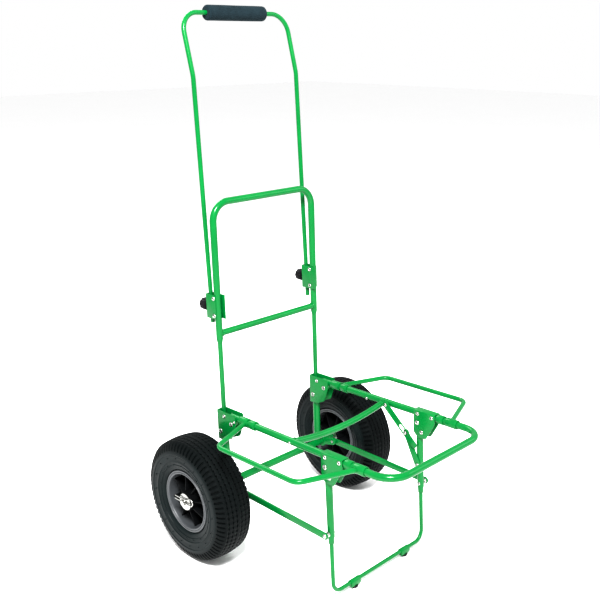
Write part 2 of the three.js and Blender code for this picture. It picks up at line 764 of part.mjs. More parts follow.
/** Stand leg: a tube from the pivot down, drawn in at its foot to hold the loop. */
function standLeg(side) {
  const { radius, top, swage, bottom } = STAND_LEG;
  const bore = radius - 1.2;
  const grip = LOOP_TUBE.radius + GAP;
  const profile = [
    [grip + 1.2, bottom],
    [grip + 1.2, swage - 3],
    [radius, swage + 2],
    [radius, top],
    [bore, top],
    [bore, swage + 3],
    [grip, swage - 2],
    [grip, bottom],
    [grip + 1.2, bottom],
  ];
  const x = side * SIDE_PLANE;
  const leg = turnedAlongZ(profile, 12).translate(x, 0, 0);
  const holes = [rodAlongX(PIN_RADIUS + GAP, x - 20, x + 20, 0, 0)];
  holes.push(rodAlongX(PIN_RADIUS + GAP, x - 20, x + 20, 0, -STRUT_DROP));
  if (side === SIDES.left) {
    const foot = braceFootOnStand();
    holes.push(rodAlongX(PIN_RADIUS + GAP, x - 20, x - 3, foot.y, foot.z));
  }
  return weld([leg], holes);
}

/** Stand loop: a thin U whose ends sit inside the two legs. */
function standLoop() {
  const corners = [
    vector(-SIDE_PLANE, 0, STAND_LEG.swage + 2),
    vector(-SIDE_PLANE, 0, -LOOP_DROP),
    vector(SIDE_PLANE, 0, -LOOP_DROP),
    vector(SIDE_PLANE, 0, STAND_LEG.swage + 2),
  ];
  return tube(new BentPath(corners, LOOP_CORNER_RADIUS, 4), LOOP_TUBE, 8);
}

/** Clip: a folded strap round the loop's bottom bar. */
function footClip(side) {
  const x = side * FOOT_X;
  const [outer, depth] = [LOOP_TUBE.radius + GAP + 1.2, 8];
  const strap = rodAlongX(outer, x - 13, x + 13, 0, 0, 10);
  const tail = block(x - 13, x + 13, -outer, outer, -depth, 0);
  const bore = rodAlongX(LOOP_TUBE.radius + GAP, x - 20, x + 20, 0, 0, 10);
  const stud = bar(straight(vector(x, 0, -12), vector(x, 0, -3)), 2.6, 8);
  return weld([strap, tail], [bore, stud]);
}

/** Rubber foot: a stud pushed into the clip, and a tapered pad that stands on the ground. */
function rubberFoot(height) {
  const profile = [
    [0, -height],
    [5, -height],
    [8, -2],
    [8, 0],
    [2.1, 0],
    [2.1, 2.6],
    [0, 2.6],
  ];
  return turnedAlongZ(profile, 12);
}

function braceFootOnStand() {
  const { y, z } = BRACE.foot;
  return vector(0, y - STAND_PIVOT.y, z - STAND_PIVOT.z).applyAxisAngle(vector(1, 0, 0), -STAND_LEAN);
}

function addStand(cart) {
  const stand = new THREE.Group();
  stand.position.set(0, STAND_PIVOT.y, STAND_PIVOT.z);
  stand.rotation.x = STAND_LEAN;
  stand.add(piece('stand_loop', standLoop(), greenPaint()));
  const clipDepth = 8;
  const barHeight = vector(0, 0, -LOOP_DROP)
    .applyAxisAngle(vector(1, 0, 0), STAND_LEAN)
    .add(vector(0, STAND_PIVOT.y, STAND_PIVOT.z))
    .applyAxisAngle(vector(1, 0, 0), CART_PITCH).z + WHEEL_RADIUS;
  for (const [name, side] of Object.entries(SIDES)) {
    stand.add(piece(`stand_leg_${name}`, standLeg(side), greenPaint()));
    const foot = new THREE.Group();
    foot.position.set(side * FOOT_X, 0, -LOOP_DROP);
    foot.rotation.x = -STAND_LEAN - CART_PITCH;
    const clip = piece(`foot_clip_${name}`, footClip(side).translate(-side * FOOT_X, 0, 0), greenPaint());
    const pad = piece(`rubber_foot_${name}`, rubberFoot(barHeight - clipDepth - 0.3), blackPlastic());
    pad.position.z = -clipDepth - 0.3;
    foot.add(clip, pad);
    stand.add(foot);
    cart.add(piece(`stand_pin_${name}`, throughPin(side, FRONT_BRACKET_INNER, STAND_PIVOT), zinc()));
  }
  cart.add(stand);
}

// ---------------------------------------------------------------- struts

function strutFrontPivot() {
  const rear = strutRearPivot();
  return { y: rear.y + STAND_PIVOT.y - PLATFORM_PIVOT.y, z: rear.z + STAND_PIVOT.z - PLATFORM_PIVOT.z };
}

function strut(side) {
  const [rear, front] = [strutRearPivot(), strutFrontPivot()];
  const [x0, x1] = span(side, STRUT.inner, STRUT.inner + STRUT.thickness);
  const link = sidePlate(linkOutline(rear, front, STRUT.halfWidth), x0, x1);
  const holes = [rear, front].map(({ y, z }) => rodAlongX(PIN_RADIUS + GAP, x0 - 5, x1 + 5, y, z));
  return weld([link], holes);
}

function addStruts(cart) {
  const link = [STRUT.inner - 0.3, STRUT.inner + STRUT.thickness + 0.3];
  const head = link[1] + PIN_HEAD;
  const legFace = SIDE_PLANE + STAND_LEG.radius;
  const lugFace = SIDE_PLANE + LOWER_LEG_TUBE.radius + 1;
  for (const [name, side] of Object.entries(SIDES)) {
    cart.add(piece(`strut_${name}`, strut(side), greenPaint()));
    const front = { head, link, shoulder: legFace + 0.3, tail: SIDE_PLANE + LOOP_TUBE.radius + 0.8 };
    const rear = { head, link: [STRUT.inner - 0.2, link[1]], shoulder: STRUT.inner - 0.2, tail: lugFace - 1 };
    cart.add(piece(`strut_front_pin_${name}`, shoulderPin(side, front, strutFrontPivot()), zinc()));
    cart.add(piece(`strut_rear_pin_${name}`, plainPin(side, rear, strutRearPivot()), zinc()));
  }
}

/** Pin with one head outside, straight through two flat pieces. */
function plainPin(side, { head, link, tail }, { y, z }) {
  const stations = [
    [0, head],
    [PIN_HEAD_RADIUS, head],
    [PIN_HEAD_RADIUS, link[1]],
    [PIN_RADIUS, link[1]],
    [PIN_RADIUS, tail],
    [0, tail],
  ];
  const profile = stations.map(([radius, x]) => [radius, side * x]);
  const rising = profile[0][1] < profile.at(-1)[1];
  return turnedAlongX(rising ? profile : profile.reverse(), 8).translate(0, y, z);
}

// ---------------------------------------------------------------- locking brace

const along = (a, b, distance) => {
  const length = Math.hypot(b.y - a.y, b.z - a.z);
  return { y: a.y + ((b.y - a.y) * distance) / length, z: a.z + ((b.z - a.z) * distance) / length };
};

/** Upper link: it turns on the rail, its slot guides the middle pin, and its end is a finger tab. */
function braceUpperLink() {
  const { top, middle, upperX, thickness, halfWidth, slot, tab } = BRACE;
  const [x0, x1] = [upperX, upperX + thickness];
  const reach = Math.hypot(middle.y - top.y, middle.z - top.z);
  const link = sidePlate(linkOutline(top, along(top, middle, reach + tab), halfWidth), x0, x1);
  const slotEnds = [along(top, middle, reach - slot.back), along(top, middle, reach + slot.front)];
  const cuts = [sidePlate(linkOutline(...slotEnds, slot.halfWidth), x0 - 5, x1 + 5)];
  cuts.push(rodAlongX(PIN_RADIUS + GAP, x0 - 5, x1 + 5, top.y, top.z));
  return weld([link], cuts);
}

function braceLowerLink() {
  const { middle, foot, lowerX, thickness, halfWidth } = BRACE;
  const [x0, x1] = [lowerX, lowerX + thickness];
  const link = sidePlate(linkOutline(middle, foot, halfWidth), x0, x1);
  const holes = [middle, foot].map(({ y, z }) => rodAlongX(PIN_RADIUS + GAP, x0 - 5, x1 + 5, y, z));
  return weld([link], holes);
}

/** A brace pin, with its head towards the middle of the cart. */
function bracePin(headX, tailX, { y, z }) {
  const profile = [
    [0, headX - PIN_HEAD],
    [PIN_HEAD_RADIUS, headX - PIN_HEAD],
    [PIN_HEAD_RADIUS, headX],
    [PIN_RADIUS, headX],
    [PIN_RADIUS, tailX],
    [0, tailX],
  ];
  return turnedAlongX(profile, 8).translate(0, y, z);
}

function addBrace(cart) {
  const { top, middle, foot, upperX, lowerX, thickness } = BRACE;
  cart.add(piece('brace_upper_link', braceUpperLink(), greenPaint()));
  cart.add(piece('brace_lower_link', braceLowerLink(), greenPaint()));
  const wallX = SIDE_PLANE - RAIL_TUBE.radius + 1.1;
  cart.add(piece('brace_top_pin', bracePin(upperX - 0.3, wallX, top), zinc()));
  cart.add(piece('brace_middle_pin', bracePin(upperX - 0.3, lowerX + thickness, middle), zinc()));
  cart.add(piece('brace_foot_pin', bracePin(lowerX - 0.3, wallX, foot), zinc()));
}

// ---------------------------------------------------------------- assembly

function gardenCart() {
  const model = new THREE.Group();
  const cart = new THREE.Group();
  cart.position.z = WHEEL_RADIUS;
  cart.rotation.x = CART_PITCH;
  for (const [name, side] of Object.entries(SIDES)) {
    addWheel(cart, name, side);
  }
  addAxle(cart);
  addBackFrame(cart);
  addHandle(cart);
  addPlatform(cart);
  addStand(cart);
  addStruts(cart);
  addBrace(cart);
  model.add(cart);
  const box = new THREE.Box3().setFromObject(model, true);
  cart.position.y = -(box.min.y + box.max.y) / 2;
  return model;
}

export default gardenCart();
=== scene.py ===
"""Folding garden cart: the finished look of every tube, plate, rivet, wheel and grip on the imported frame."""

import json
import logging
import math
from dataclasses import dataclass, field
from enum import Enum
from typing import Iterable, Sequence

import bmesh
import bpy
from mathutils import Matrix, Vector, noise


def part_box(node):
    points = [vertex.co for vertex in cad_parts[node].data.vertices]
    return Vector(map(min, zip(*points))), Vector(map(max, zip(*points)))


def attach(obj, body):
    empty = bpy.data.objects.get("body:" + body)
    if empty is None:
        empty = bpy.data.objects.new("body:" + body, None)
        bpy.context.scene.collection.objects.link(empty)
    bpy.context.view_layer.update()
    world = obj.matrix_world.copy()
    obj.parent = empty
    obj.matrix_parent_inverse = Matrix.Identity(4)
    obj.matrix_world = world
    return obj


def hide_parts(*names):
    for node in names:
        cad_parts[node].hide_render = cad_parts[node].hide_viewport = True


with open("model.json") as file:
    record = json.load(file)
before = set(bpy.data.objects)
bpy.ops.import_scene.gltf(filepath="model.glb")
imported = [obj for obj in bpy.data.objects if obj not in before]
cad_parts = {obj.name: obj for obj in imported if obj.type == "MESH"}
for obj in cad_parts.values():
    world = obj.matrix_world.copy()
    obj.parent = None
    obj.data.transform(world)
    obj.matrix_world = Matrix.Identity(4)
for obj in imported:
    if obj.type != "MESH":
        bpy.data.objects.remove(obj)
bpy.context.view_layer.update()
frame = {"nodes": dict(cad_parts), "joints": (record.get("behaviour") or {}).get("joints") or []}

BMesh = bmesh.types.BMesh
Shapes = list[BMesh]
Socket = bpy.types.NodeSocket
Pair = tuple[float, float]
Point = tuple[float, float, float]
Profile = Sequence[Pair]

LOG = logging.getLogger("garden_cart")
MM = 0.001
MERGE = 1e-3
SAME_PLACE = 1e-4
STRAIGHT = 1e-6
LINK_SIDES = 32
SHARP_CORNER = math.radians(50)
HALF_SHEET = 0.75
HANDLE_FOOT = (21.8, 351.0)
STAND_LEAN = math.radians(-1.5)
NOISE_SEED = 7
FROM_SIDE = Matrix(((0, 0, 1, 0), (1, 0, 0, 0), (0, 1, 0, 0), (0, 0, 0, 1)))


# ------------------------------------------------------------------ choices


class Side(Enum):
    """A side of the cart, as seen by the person holding the handle."""

    RIGHT = -1
    LEFT = 1

    @property
    def word(self) -> str:
        """The side's name as the frame's nodes and bodies spell it."""
        return self.name.lower()

    def x(self, distance: float) -> float:
        """A distance from the middle plane, on this side."""
        return self.value * distance


class WingEnd(Enum):
    """The two sleeves of a wing, with the direction along the rail that each one's collar is in."""

    REAR = -1
    FRONT = 1


class SocketKind(Enum):
    """Socket types of a node group."""

    NUMBER = "NodeSocketFloat"
    VECTOR = "NodeSocketVector"


# ------------------------------------------------------------------ places


def joint(name: str) -> dict:
    """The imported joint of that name."""
    return next(j for j in frame["joints"] if j["name"] == name)


@dataclass(frozen=True)
class Places:
    """Matrices from millimetres in a sub-assembly's own frame to metres in the row frame."""

    cart: Matrix
    handle: Matrix
    stand: Matrix

    @classmethod
    def from_frame(cls, handle_foot: Pair) -> "Places":
        """Reads the axle, the cart's pitch, the handle's lean and the stand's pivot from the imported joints.

        Args:
            handle_foot: y and z of the handle's lower ends in the cart's frame.
        Returns:
            The three places.
        """
        right, left = (Vector(joint(f"wheel_{s.word}_spin")["pos_m"]) for s in Side)
        knob_axis = Vector(joint("clamp_knob_left_turn")["axis"])
        pitch = math.atan2(knob_axis.z, knob_axis.y)
        cart = Matrix.Translation((right + left) / 2) @ Matrix.Rotation(pitch, 4, "X") @ Matrix.Scale(MM, 4)
        slide = Vector(joint("handle_slide")["axis"])
        handle_lean = -math.atan2(-slide.y, -slide.z) - pitch
        foot = Vector((0, *handle_foot))
        handle = cart @ Matrix.Translation(foot) @ Matrix.Rotation(handle_lean, 4, "X")
        pivot = cart.inverted() @ Vector(joint("stand_fold")["pos_m"])
        stand = cart @ Matrix.Translation(pivot) @ Matrix.Rotation(STAND_LEAN, 4, "X")
        return cls(cart, handle, stand)


# ------------------------------------------------------------------ shapes


def _verts(geom: Iterable) -> list[bmesh.types.BMVert]:
    """The vertices among mixed geometry."""
    return [g for g in geom if isinstance(g, bmesh.types.BMVert)]


def _new_ring(edges: Iterable[bmesh.types.BMEdge], verts: set) -> list:
    """The edges that join only the given vertices."""
    return [e for e in edges if all(v in verts for v in e.verts)]


def _extruded(bm: BMesh, ring: list) -> tuple[list, list]:
    """Extrudes a ring of edges in place.

    Args:
        bm: the mesh.
        ring: the edges to extrude.
    Returns:
        The new vertices and the new ring of edges.
    """
    made = bmesh.ops.extrude_edge_only(bm, edges=ring)["geom"]
    verts = _verts(made)
    edges = [g for g in made if isinstance(g, bmesh.types.BMEdge)]
    return verts, _new_ring(edges, set(verts))


def _cap(bm: BMesh, ring: list, outward: Vector, wall: float, depth: float) -> None:
    """Closes a tube's end, with the tube's bore sunk into it when it has a wall.

    Args:
        bm: the mesh.
        ring: the end's edges.
        outward: direction out of the end.
        wall: the tube's wall, or 0 for a plain end.
        depth: how deep the bore shows.
    """
    face = bmesh.ops.contextual_create(bm, geom=ring)["faces"]
    if wall <= 0:
        return
    bmesh.ops.inset_region(bm, faces=face, thickness=wall, use_even_offset=True)
    sunk = bmesh.ops.extrude_face_region(bm, geom=face)["geom"]
    bmesh.ops.delete(bm, geom=face, context="FACES_ONLY")
    bmesh.ops.translate(bm, verts=_verts(sunk), vec=-outward * depth)


def swept(
    corners: Sequence[Point],
    bends: Sequence[float],
    radius: float,
    wall: float = 0.0,
    sides: int = 24,
    steps: int = 12,
) -> BMesh:
    """A round tube along straight runs joined by bends.

    Args:
        corners: the route's corners.
        bends: bend radius at each inner corner.
        radius: the tube's outer radius.
        wall: wall thickness that shows at the ends, or 0 for plain ends.
        sides: sides of the circle.
        steps: rings in each bend.
    Returns:
        The tube's mesh.
    """
    bm = bmesh.new()
    points = [Vector(c) for c in corners]
    way = (points[1] - points[0]).normalized()
    first_way = way.copy()
    turns = [(b - a).cross(c - b) for a, b, c in zip(points, points[1:], points[2:])]
    turn_axis = next((t.normalized() for t in turns if t.length > STRAIGHT), way.orthogonal().normalized())
    turn_axis = (turn_axis - way * turn_axis.dot(way)).normalized()
    basis = Matrix((turn_axis, way.cross(turn_axis), way)).transposed().to_4x4()
    circle = bmesh.ops.create_circle(
        bm, cap_ends=False, radius=radius, segments=sides, matrix=Matrix.Translation(points[0]) @ basis
    )["verts"]
    ring = _new_ring({e for v in circle for e in v.link_edges}, set(circle))
    first = list(ring)
    here = points[0]
    for corner, after, bend in zip(points[1:-1], points[2:], bends):
        onward = (after - corner).normalized()
        turn = way.angle(onward)
        axis = way.cross(onward).normalized()
        start = corner - way * bend * math.tan(turn / 2)
        if (start - here).length > SAME_PLACE:
            verts, ring = _extruded(bm, ring)
            bmesh.ops.translate(bm, verts=verts, vec=start - here)
        centre = start + axis.cross(way) * bend
        for _ in range(steps):
            verts, ring = _extruded(bm, ring)
            bmesh.ops.rotate(bm, verts=verts, cent=centre, matrix=Matrix.Rotation(turn / steps, 3, axis))
        here = corner + onward * bend * math.tan(turn / 2)
        way = onward
    if (points[-1] - here).length > SAME_PLACE:
        verts, ring = _extruded(bm, ring)
        bmesh.ops.translate(bm, verts=verts, vec=points[-1] - here)
    _cap(bm, first, -first_way, wall, 3 * radius)
    _cap(bm, ring, way, wall, 3 * radius)
    return bm


def turned(
    profile: Profile,
    at: Point = (0, 0, 0),
    axis: Point = (0, 0, 1),
    closed: bool = False,
    steps: int = 32,
) -> BMesh:
    """A piece turned on a lathe.

    Args:
        profile: radius and height of each point.
        at: the point where the height is nothing.
        axis: direction of the heights.
        closed: whether the profile closes on itself, as a ring's does.
        steps: steps round the axis.
    Returns:
        The piece's mesh.
    """
    bm = bmesh.new()
    place = Matrix.Translation(at) @ Vector(axis).to_track_quat("Z", "Y").to_matrix().to_4x4()
    verts = [bm.verts.new(place @ Vector((radius, 0, height))) for radius, height in profile]
    pairs = list(zip(verts, verts[1:])) + ([(verts[-1], verts[0])] if closed else [])
    edges = [bm.edges.new(pair) for pair in pairs]
    geom = verts + edges
    bmesh.ops.spin(bm, geom=geom, cent=at, axis=axis, angle=math.tau, steps=steps, use_merge=True)
    bmesh.ops.remove_doubles(bm, verts=bm.verts, dist=MERGE)
    return bm


def sector(profile: Profile, at: Point, start: float, sweep: float, steps: int = 10) -> BMesh:
    """Part of a ring about +Y, closed at both ends.

    Args:
        profile: radius and height of each corner of its section.
        at: the point where the height is nothing.
        start: angle where it starts, in radians from +X towards +Z.
        sweep: angle that it covers.
        steps: steps along it.
    Returns:
        The sector's mesh.
    """
    bm = bmesh.new()
    out = Vector((math.cos(start), 0, math.sin(start)))
    verts = [bm.verts.new(Vector(at) + out * radius + Vector((0, height, 0))) for radius, height in profile]
    face = bm.faces.new(verts)
    geom = [face, *face.edges, *face.verts]
    bmesh.ops.spin(bm, geom=geom, cent=at, axis=(0, -1, 0), angle=sweep, steps=steps)
    return bm


def _rounded(bm: BMesh, geom: list, width: float, segments: int, affect: str = "EDGES") -> None:
    """Rounds edges or corners.

    Args:
        bm: the mesh.
        geom: the edges, or the corners' vertices.
        width: the rounding's width.
        segments: steps across it.
        affect: whether edges or vertices are rounded.
    """
    bmesh.ops.bevel(
        bm,
        geom=geom,
        offset=width,
        offset_type="OFFSET",
        affect=affect,
        segments=segments,
        profile=0.5,
        material=-1,
    )


def _rim_bevel(bm: BMesh, width: float) -> None:
    """Rounds every edge where two faces meet at a sharp corner."""
    sharp = [e for e in bm.edges if len(e.link_faces) == 2 and e.calc_face_angle(0) > SHARP_CORNER]
    _rounded(bm, sharp, width, 2)


def _thickened(bm: BMesh, thickness: float, edge: float) -> None:
    """Raises a flat shape along +Z into a plate, and rounds the plate's edges."""
    grown = bmesh.ops.extrude_face_region(bm, geom=list(bm.faces))["geom"]
    bmesh.ops.translate(bm, verts=_verts(grown), vec=(0, 0, thickness))
    _rim_bevel(bm, edge)


def _stadium(bm: BMesh, radius: float, near: float, far: float, filled: bool) -> list[bmesh.types.BMVert]:
    """A circle pulled out along +X.

    Args:
        bm: the mesh.
        radius: the circle's radius.
        near: where its first centre is.
        far: where its second centre is.
        filled: whether it gets a face.
    Returns:
        Its vertices.
    """
    half_step = Matrix.Rotation(math.pi / LINK_SIDES, 4, "Z")
    verts = bmesh.ops.create_circle(
        bm, cap_ends=filled, radius=radius, segments=LINK_SIDES, matrix=half_step
    )["verts"]
    bmesh.ops.translate(bm, verts=[v for v in verts if v.co.x > 0], vec=(far - near, 0, 0))
    bmesh.ops.translate(bm, verts=verts, vec=(near, 0, 0))
    return verts


def _laid(bm: BMesh, a: Pair, b: Pair, x0: float, x1: float, edge: float) -> BMesh:
    """Thickens a link drawn along +X and lays it in the side view, from one eye towards the other."""
    _thickened(bm, x1 - x0, edge)
    turn = Matrix.Rotation(math.atan2(b[1] - a[1], b[0] - a[0]), 4, "Z")
    bm.transform(Matrix.Translation((x0, *a)) @ FROM_SIDE @ turn)
    return bm


def linked(a: Pair, b: Pair, half_width: float, x0: float, x1: float, edge: float = 0.5) -> BMesh:
    """A flat link with round ends, upright in the side view.

    Args:
        a: y and z of one eye.
        b: y and z of the other eye.
        half_width: half its width.
        x0: where its thickness starts.
        x1: where its thickness ends.
        edge: rounding of its edges.
    Returns:
        The link's mesh.
    """
    bm = bmesh.new()
    _stadium(bm, half_width, 0.0, math.dist(a, b), True)
    return _laid(bm, a, b, x0, x1, edge)


def slotted(a: Pair, b: Pair, half_width: float, slot: Point, x0: float, x1: float) -> BMesh:
    """A flat link with round ends and a long slot along its middle line.

    Args:
        a: y and z of the eye that it turns on.
        b: y and z of the middle of its far end.
        half_width: half its width.
        slot: where the slot's middle line starts and ends, from the eye, and half the slot's width.
        x0: where its thickness starts.
        x1: where its thickness ends.
    Returns:
        The link's mesh.
    """
    bm = bmesh.new()
    start, end, slot_half = slot
    rings = []
    for radius, near, far in ((half_width, 0.0, math.dist(a, b)), (slot_half, start, end)):
        verts = _stadium(bm, radius, near, far, False)
        rings += _new_ring({e for v in verts for e in v.link_edges}, set(verts))
    bmesh.ops.bridge_loops(bm, edges=rings)
    return _laid(bm, a, b, x0, x1, 0.5)


def outlined(outline: Profile, thickness: float, edge: float) -> BMesh:
    """A flat plate in the XY plane, centred on it, with rounded edges.

    Args:
        outline: its corners.
        thickness: its thickness.
        edge: rounding of its edges.
    Returns:
        The plate's mesh.
    """
    bm = bmesh.new()
    bm.faces.new([bm.verts.new((x, y, -thickness / 2)) for x, y in outline])
    _thickened(bm, thickness, edge)
    return bm


def blocked(low: Point, high: Point, edge: float) -> BMesh:
    """A box between two corners, with rounded edges."""
    bm = bmesh.new()
    size = Vector(high) - Vector(low)
    middle = (Vector(high) + Vector(low)) / 2
    bmesh.ops.create_cube(bm, size=1, matrix=Matrix.Translation(middle) @ Matrix.Diagonal((*size, 1)))
    _rim_bevel(bm, edge)
    return bm


@dataclass(frozen=True)
class Channel:
    """A sheet folded into an upright channel that opens towards -Y, sized to the middle of its sheet."""

    half_width: float
    front: float
    web: float
    low: float
    high: float
    sheet: float = 2 * HALF_SHEET
    fold: float = 2.4
    corner: float = 4.0
    cuts: tuple[tuple[Point, Point], ...] = ()

    def made(self) -> BMesh:
        """Folds the sheet, cuts its cheeks to shape and gives it its thickness."""
        bm = bmesh.new()
        w, back = self.half_width + self.sheet / 2, self.web + self.sheet / 2
        corners = [(-w, self.front), (-w, back), (w, back), (w, self.front)]
        verts = [bm.verts.new((x, y, self.low)) for x, y in corners]
        edges = [bm.edges.new(pair) for pair in zip(verts, verts[1:])]
        raised, _ = _extruded(bm, edges)
        bmesh.ops.translate(bm, verts=raised, vec=(0, 0, self.high - self.low))
        folds = [e for e in bm.edges if len(e.link_faces) == 2]
        _rounded(bm, folds, self.fold, 5)
        for point, normal in self.cuts:
            geom = [*bm.verts, *bm.edges, *bm.faces]
            bmesh.ops.bisect_plane(
                bm, geom=geom, dist=MERGE, plane_co=point, plane_no=normal, clear_outer=True
            )
        tips = [v for v in bm.verts if v.is_boundary and len(v.link_faces) == 1]
        _rounded(bm, tips, self.corner, 4, "VERTICES")
        bmesh.ops.recalc_face_normals(bm, faces=bm.faces)
        bmesh.ops.solidify(bm, geom=list(bm.faces), thickness=self.sheet)
        bmesh.ops.recalc_face_normals(bm, faces=bm.faces)
        _rim_bevel(bm, 0.3)
        return bm


def ringed(
    outer: float, inner: float, low: float, high: float, at: Point, axis: Point, edge: float = 0.5
) -> BMesh:
    """A plain ring with rounded outer edges."""
    profile = [
        (inner, low),
        (outer - edge, low),
        (outer - 0.3 * edge, low + 0.3 * edge),
        (outer, low + edge),
        (outer, high - edge),
        (outer - 0.3 * edge, high - 0.3 * edge),
        (outer - edge, high),
        (inner, high),
    ]
    return turned(profile, at, axis, closed=True)


def beaded(at: Point, axis: Point, radius: float, bead: float = 1.3) -> BMesh:
    """A weld bead: a thin ring, slightly uneven as it was laid."""
    angles = [math.tau * k / 10 for k in range(10)]
    section = [(radius + bead * math.cos(angle), bead * math.sin(angle)) for angle in angles]
    bm = turned(section, at, axis, closed=True, steps=36)
    for vert in bm.verts:
        vert.co += noise.noise_vector(vert.co * 0.45) * 0.35 * bead
    return bm


def riveted(at: Point, axis: Point, radius: float = 4.6, height: float = 1.9) -> BMesh:
    """A tubular rivet's head: a low dome with a punched centre.

    Args:
        at: the point on the plate under it.
        axis: direction out of the plate.
        radius: the head's radius.
        height: the head's height.
    Returns:
        The head's mesh.
    """
    profile = [
        (0, -2.6),
        (0.36 * radius, -2.6),
        (0.4 * radius, height * 0.72),
        (0.5 * radius, height),
        (0.7 * radius, height * 0.9),
        (0.88 * radius, height * 0.6),
        (radius, height * 0.15),
        (radius, -0.4),
    ]
    return turned(profile, at, axis, steps=24)


def shanked(x0: float, x1: float, eye: Pair, radius: float = 3.0, steps: int = 20) -> BMesh:
    """A plain pin's shank between two places along X."""
    return turned([(0, x0), (radius, x0), (radius, x1), (0, x1)], (0, *eye), (1, 0, 0), steps=steps)


# ------------------------------------------------------------------ finishes


class Wiring:
    """A node tree being wired."""

    def __init__(self, tree: bpy.types.NodeTree) -> None:
        """Starts from the tree's own nodes."""
        self.tree = tree

    def node(self, kind: str, **values: object) -> bpy.types.Node:
        """Adds a node and sets its own properties."""
        made = self.tree.nodes.new(kind)
        for name, value in values.items():
            setattr(made, name, value)
        return made

    def feed(self, socket: Socket, source: object) -> None:
        """Links a socket to another, or sets its value."""
        if isinstance(source, Socket):
            self.tree.links.new(source, socket)
        else:
            socket.default_value = source

    def maths(self, kind: str, *values: object) -> Socket:
        """A Math node's result."""
        made = self.node("ShaderNodeMath", operation=kind)
        for socket, value in zip(made.inputs, values):
            self.feed(socket, value)
        return made.outputs[0]

    def ramp(self, value: object, low: object, high: object, start: float = 0.0, end: float = 1.0) -> Socket:
        """Maps a value from low..high to start..end, held at both ends."""
        made = self.node("ShaderNodeMapRange", clamp=True)
        names = ("Value", "From Min", "From Max", "To Min", "To Max")
        for name, given in zip(names, (value, low, high, start, end)):
            self.feed(made.inputs[name], given)
        return made.outputs["Result"]

    def blend(self, mask: object, first: object, second: object) -> Socket:
        """Mixes two colours by a mask."""
        made = self.node("ShaderNodeMix", data_type="RGBA")
        self.feed(made.inputs["Factor"], mask)
        self.feed(made.inputs[6], first)
        self.feed(made.inputs[7], second)
        return made.outputs[2]

    def noise(self, vector: object, scale: object, detail: float = 3.0, rough: float = 0.55) -> Socket:
        """Plain noise."""
        made = self.node("ShaderNodeTexNoise")
        self.feed(made.inputs["Vector"], vector)
        self.feed(made.inputs["Scale"], scale)
        made.inputs["Detail"].default_value = detail
        made.inputs["Roughness"].default_value = rough
        return made.outputs["Fac"]


class GroupLibrary:
    """Shared effects, each built once as a node group that gives masks or heights."""

    @staticmethod
    def _group(name: str, numbers: dict[str, float], outputs: Sequence[str]) -> tuple:
        """Makes an empty group with its sockets.

        Args:
            name: the group's name.
            numbers: name and default of each number that it takes beside its vector.
            outputs: names of the number outputs.
        Returns:
            The group, its wiring, its input node and its output node.
        """
        group = bpy.data.node_groups.new(name, "ShaderNodeTree")
        group.interface.new_socket("Vector", in_out="INPUT", socket_type=SocketKind.VECTOR.value)
        for label, value in numbers.items():
            made = group.interface.new_socket(label, in_out="INPUT", socket_type=SocketKind.NUMBER.value)
            made.default_value = value
        for label in outputs:
            group.interface.new_socket(label, in_out="OUTPUT", socket_type=SocketKind.NUMBER.value)
        wiring = Wiring(group)
        return group, wiring, wiring.node("NodeGroupInput"), wiring.node("NodeGroupOutput")

    @classmethod
    def orange_peel(cls) -> bpy.types.NodeTree:
        """The low ripple of cured powder coat, and its cloudy variation in tone."""
        found = bpy.data.node_groups.get("orange_peel")
        if found:
            return found
        group, wire, given, result = cls._group(
            "orange_peel", {"Size": 420.0, "Cloud": 14.0}, ["Height", "Mask", "Specks"]
        )
        peel = wire.noise(given.outputs["Vector"], given.outputs["Size"], 2.0, 0.4)
        cloud = wire.noise(given.outputs["Vector"], given.outputs["Cloud"], 4.0)
        specks = wire.noise(given.outputs["Vector"], 1900.0, 1.0)
        wire.feed(result.inputs["Height"], peel)
        wire.feed(result.inputs["Mask"], wire.ramp(cloud, 0.35, 0.68))
        wire.feed(result.inputs["Specks"], wire.ramp(specks, 0.68, 0.78))
        return group

    @classmethod
    def scuffs(cls) -> bpy.types.NodeTree:
        """Sparse fine rub marks, stretched along the piece."""
        found = bpy.data.node_groups.get("scuffs")
        if found:
            return found
        group, wire, given, result = cls._group("scuffs", {"Size": 60.0, "Reach": 0.62}, ["Mask"])
        stretch = wire.node("ShaderNodeMapping")
        wire.feed(stretch.inputs["Vector"], given.outputs["Vector"])
        stretch.inputs["Scale"].default_value = (6.0, 1.0, 1.0)
        lines = wire.noise(stretch.outputs["Vector"], given.outputs["Size"], 6.0, 0.7)
        where = wire.noise(given.outputs["Vector"], 9.0, 2.0)
        marks = wire.ramp(lines, given.outputs["Reach"], 0.8)
        wire.feed(result.inputs["Mask"], wire.maths("MULTIPLY", marks, wire.ramp(where, 0.45, 0.62)))
        return group

    @classmethod
    def wheel_polar(cls) -> bpy.types.NodeTree:
        """Distance from the axle line, in millimetres."""
        found = bpy.data.node_groups.get("wheel_polar")
        if found:
            return found
        group, wire, given, result = cls._group("wheel_polar", {"Axle Y": 0.0, "Axle Z": 0.0}, ["Radius"])
        parts = wire.node("ShaderNodeSeparateXYZ")
        wire.feed(parts.inputs[0], given.outputs["Vector"])
        across = wire.maths("SUBTRACT", parts.outputs["Y"], given.outputs["Axle Y"])
        up = wire.maths("SUBTRACT", parts.outputs["Z"], given.outputs["Axle Z"])
        square = wire.maths("ADD", wire.maths("MULTIPLY", across, across), wire.maths("MULTIPLY", up, up))
        wire.feed(result.inputs["Radius"], wire.maths("MULTIPLY", wire.maths("SQRT", square), 1 / MM))
        return group


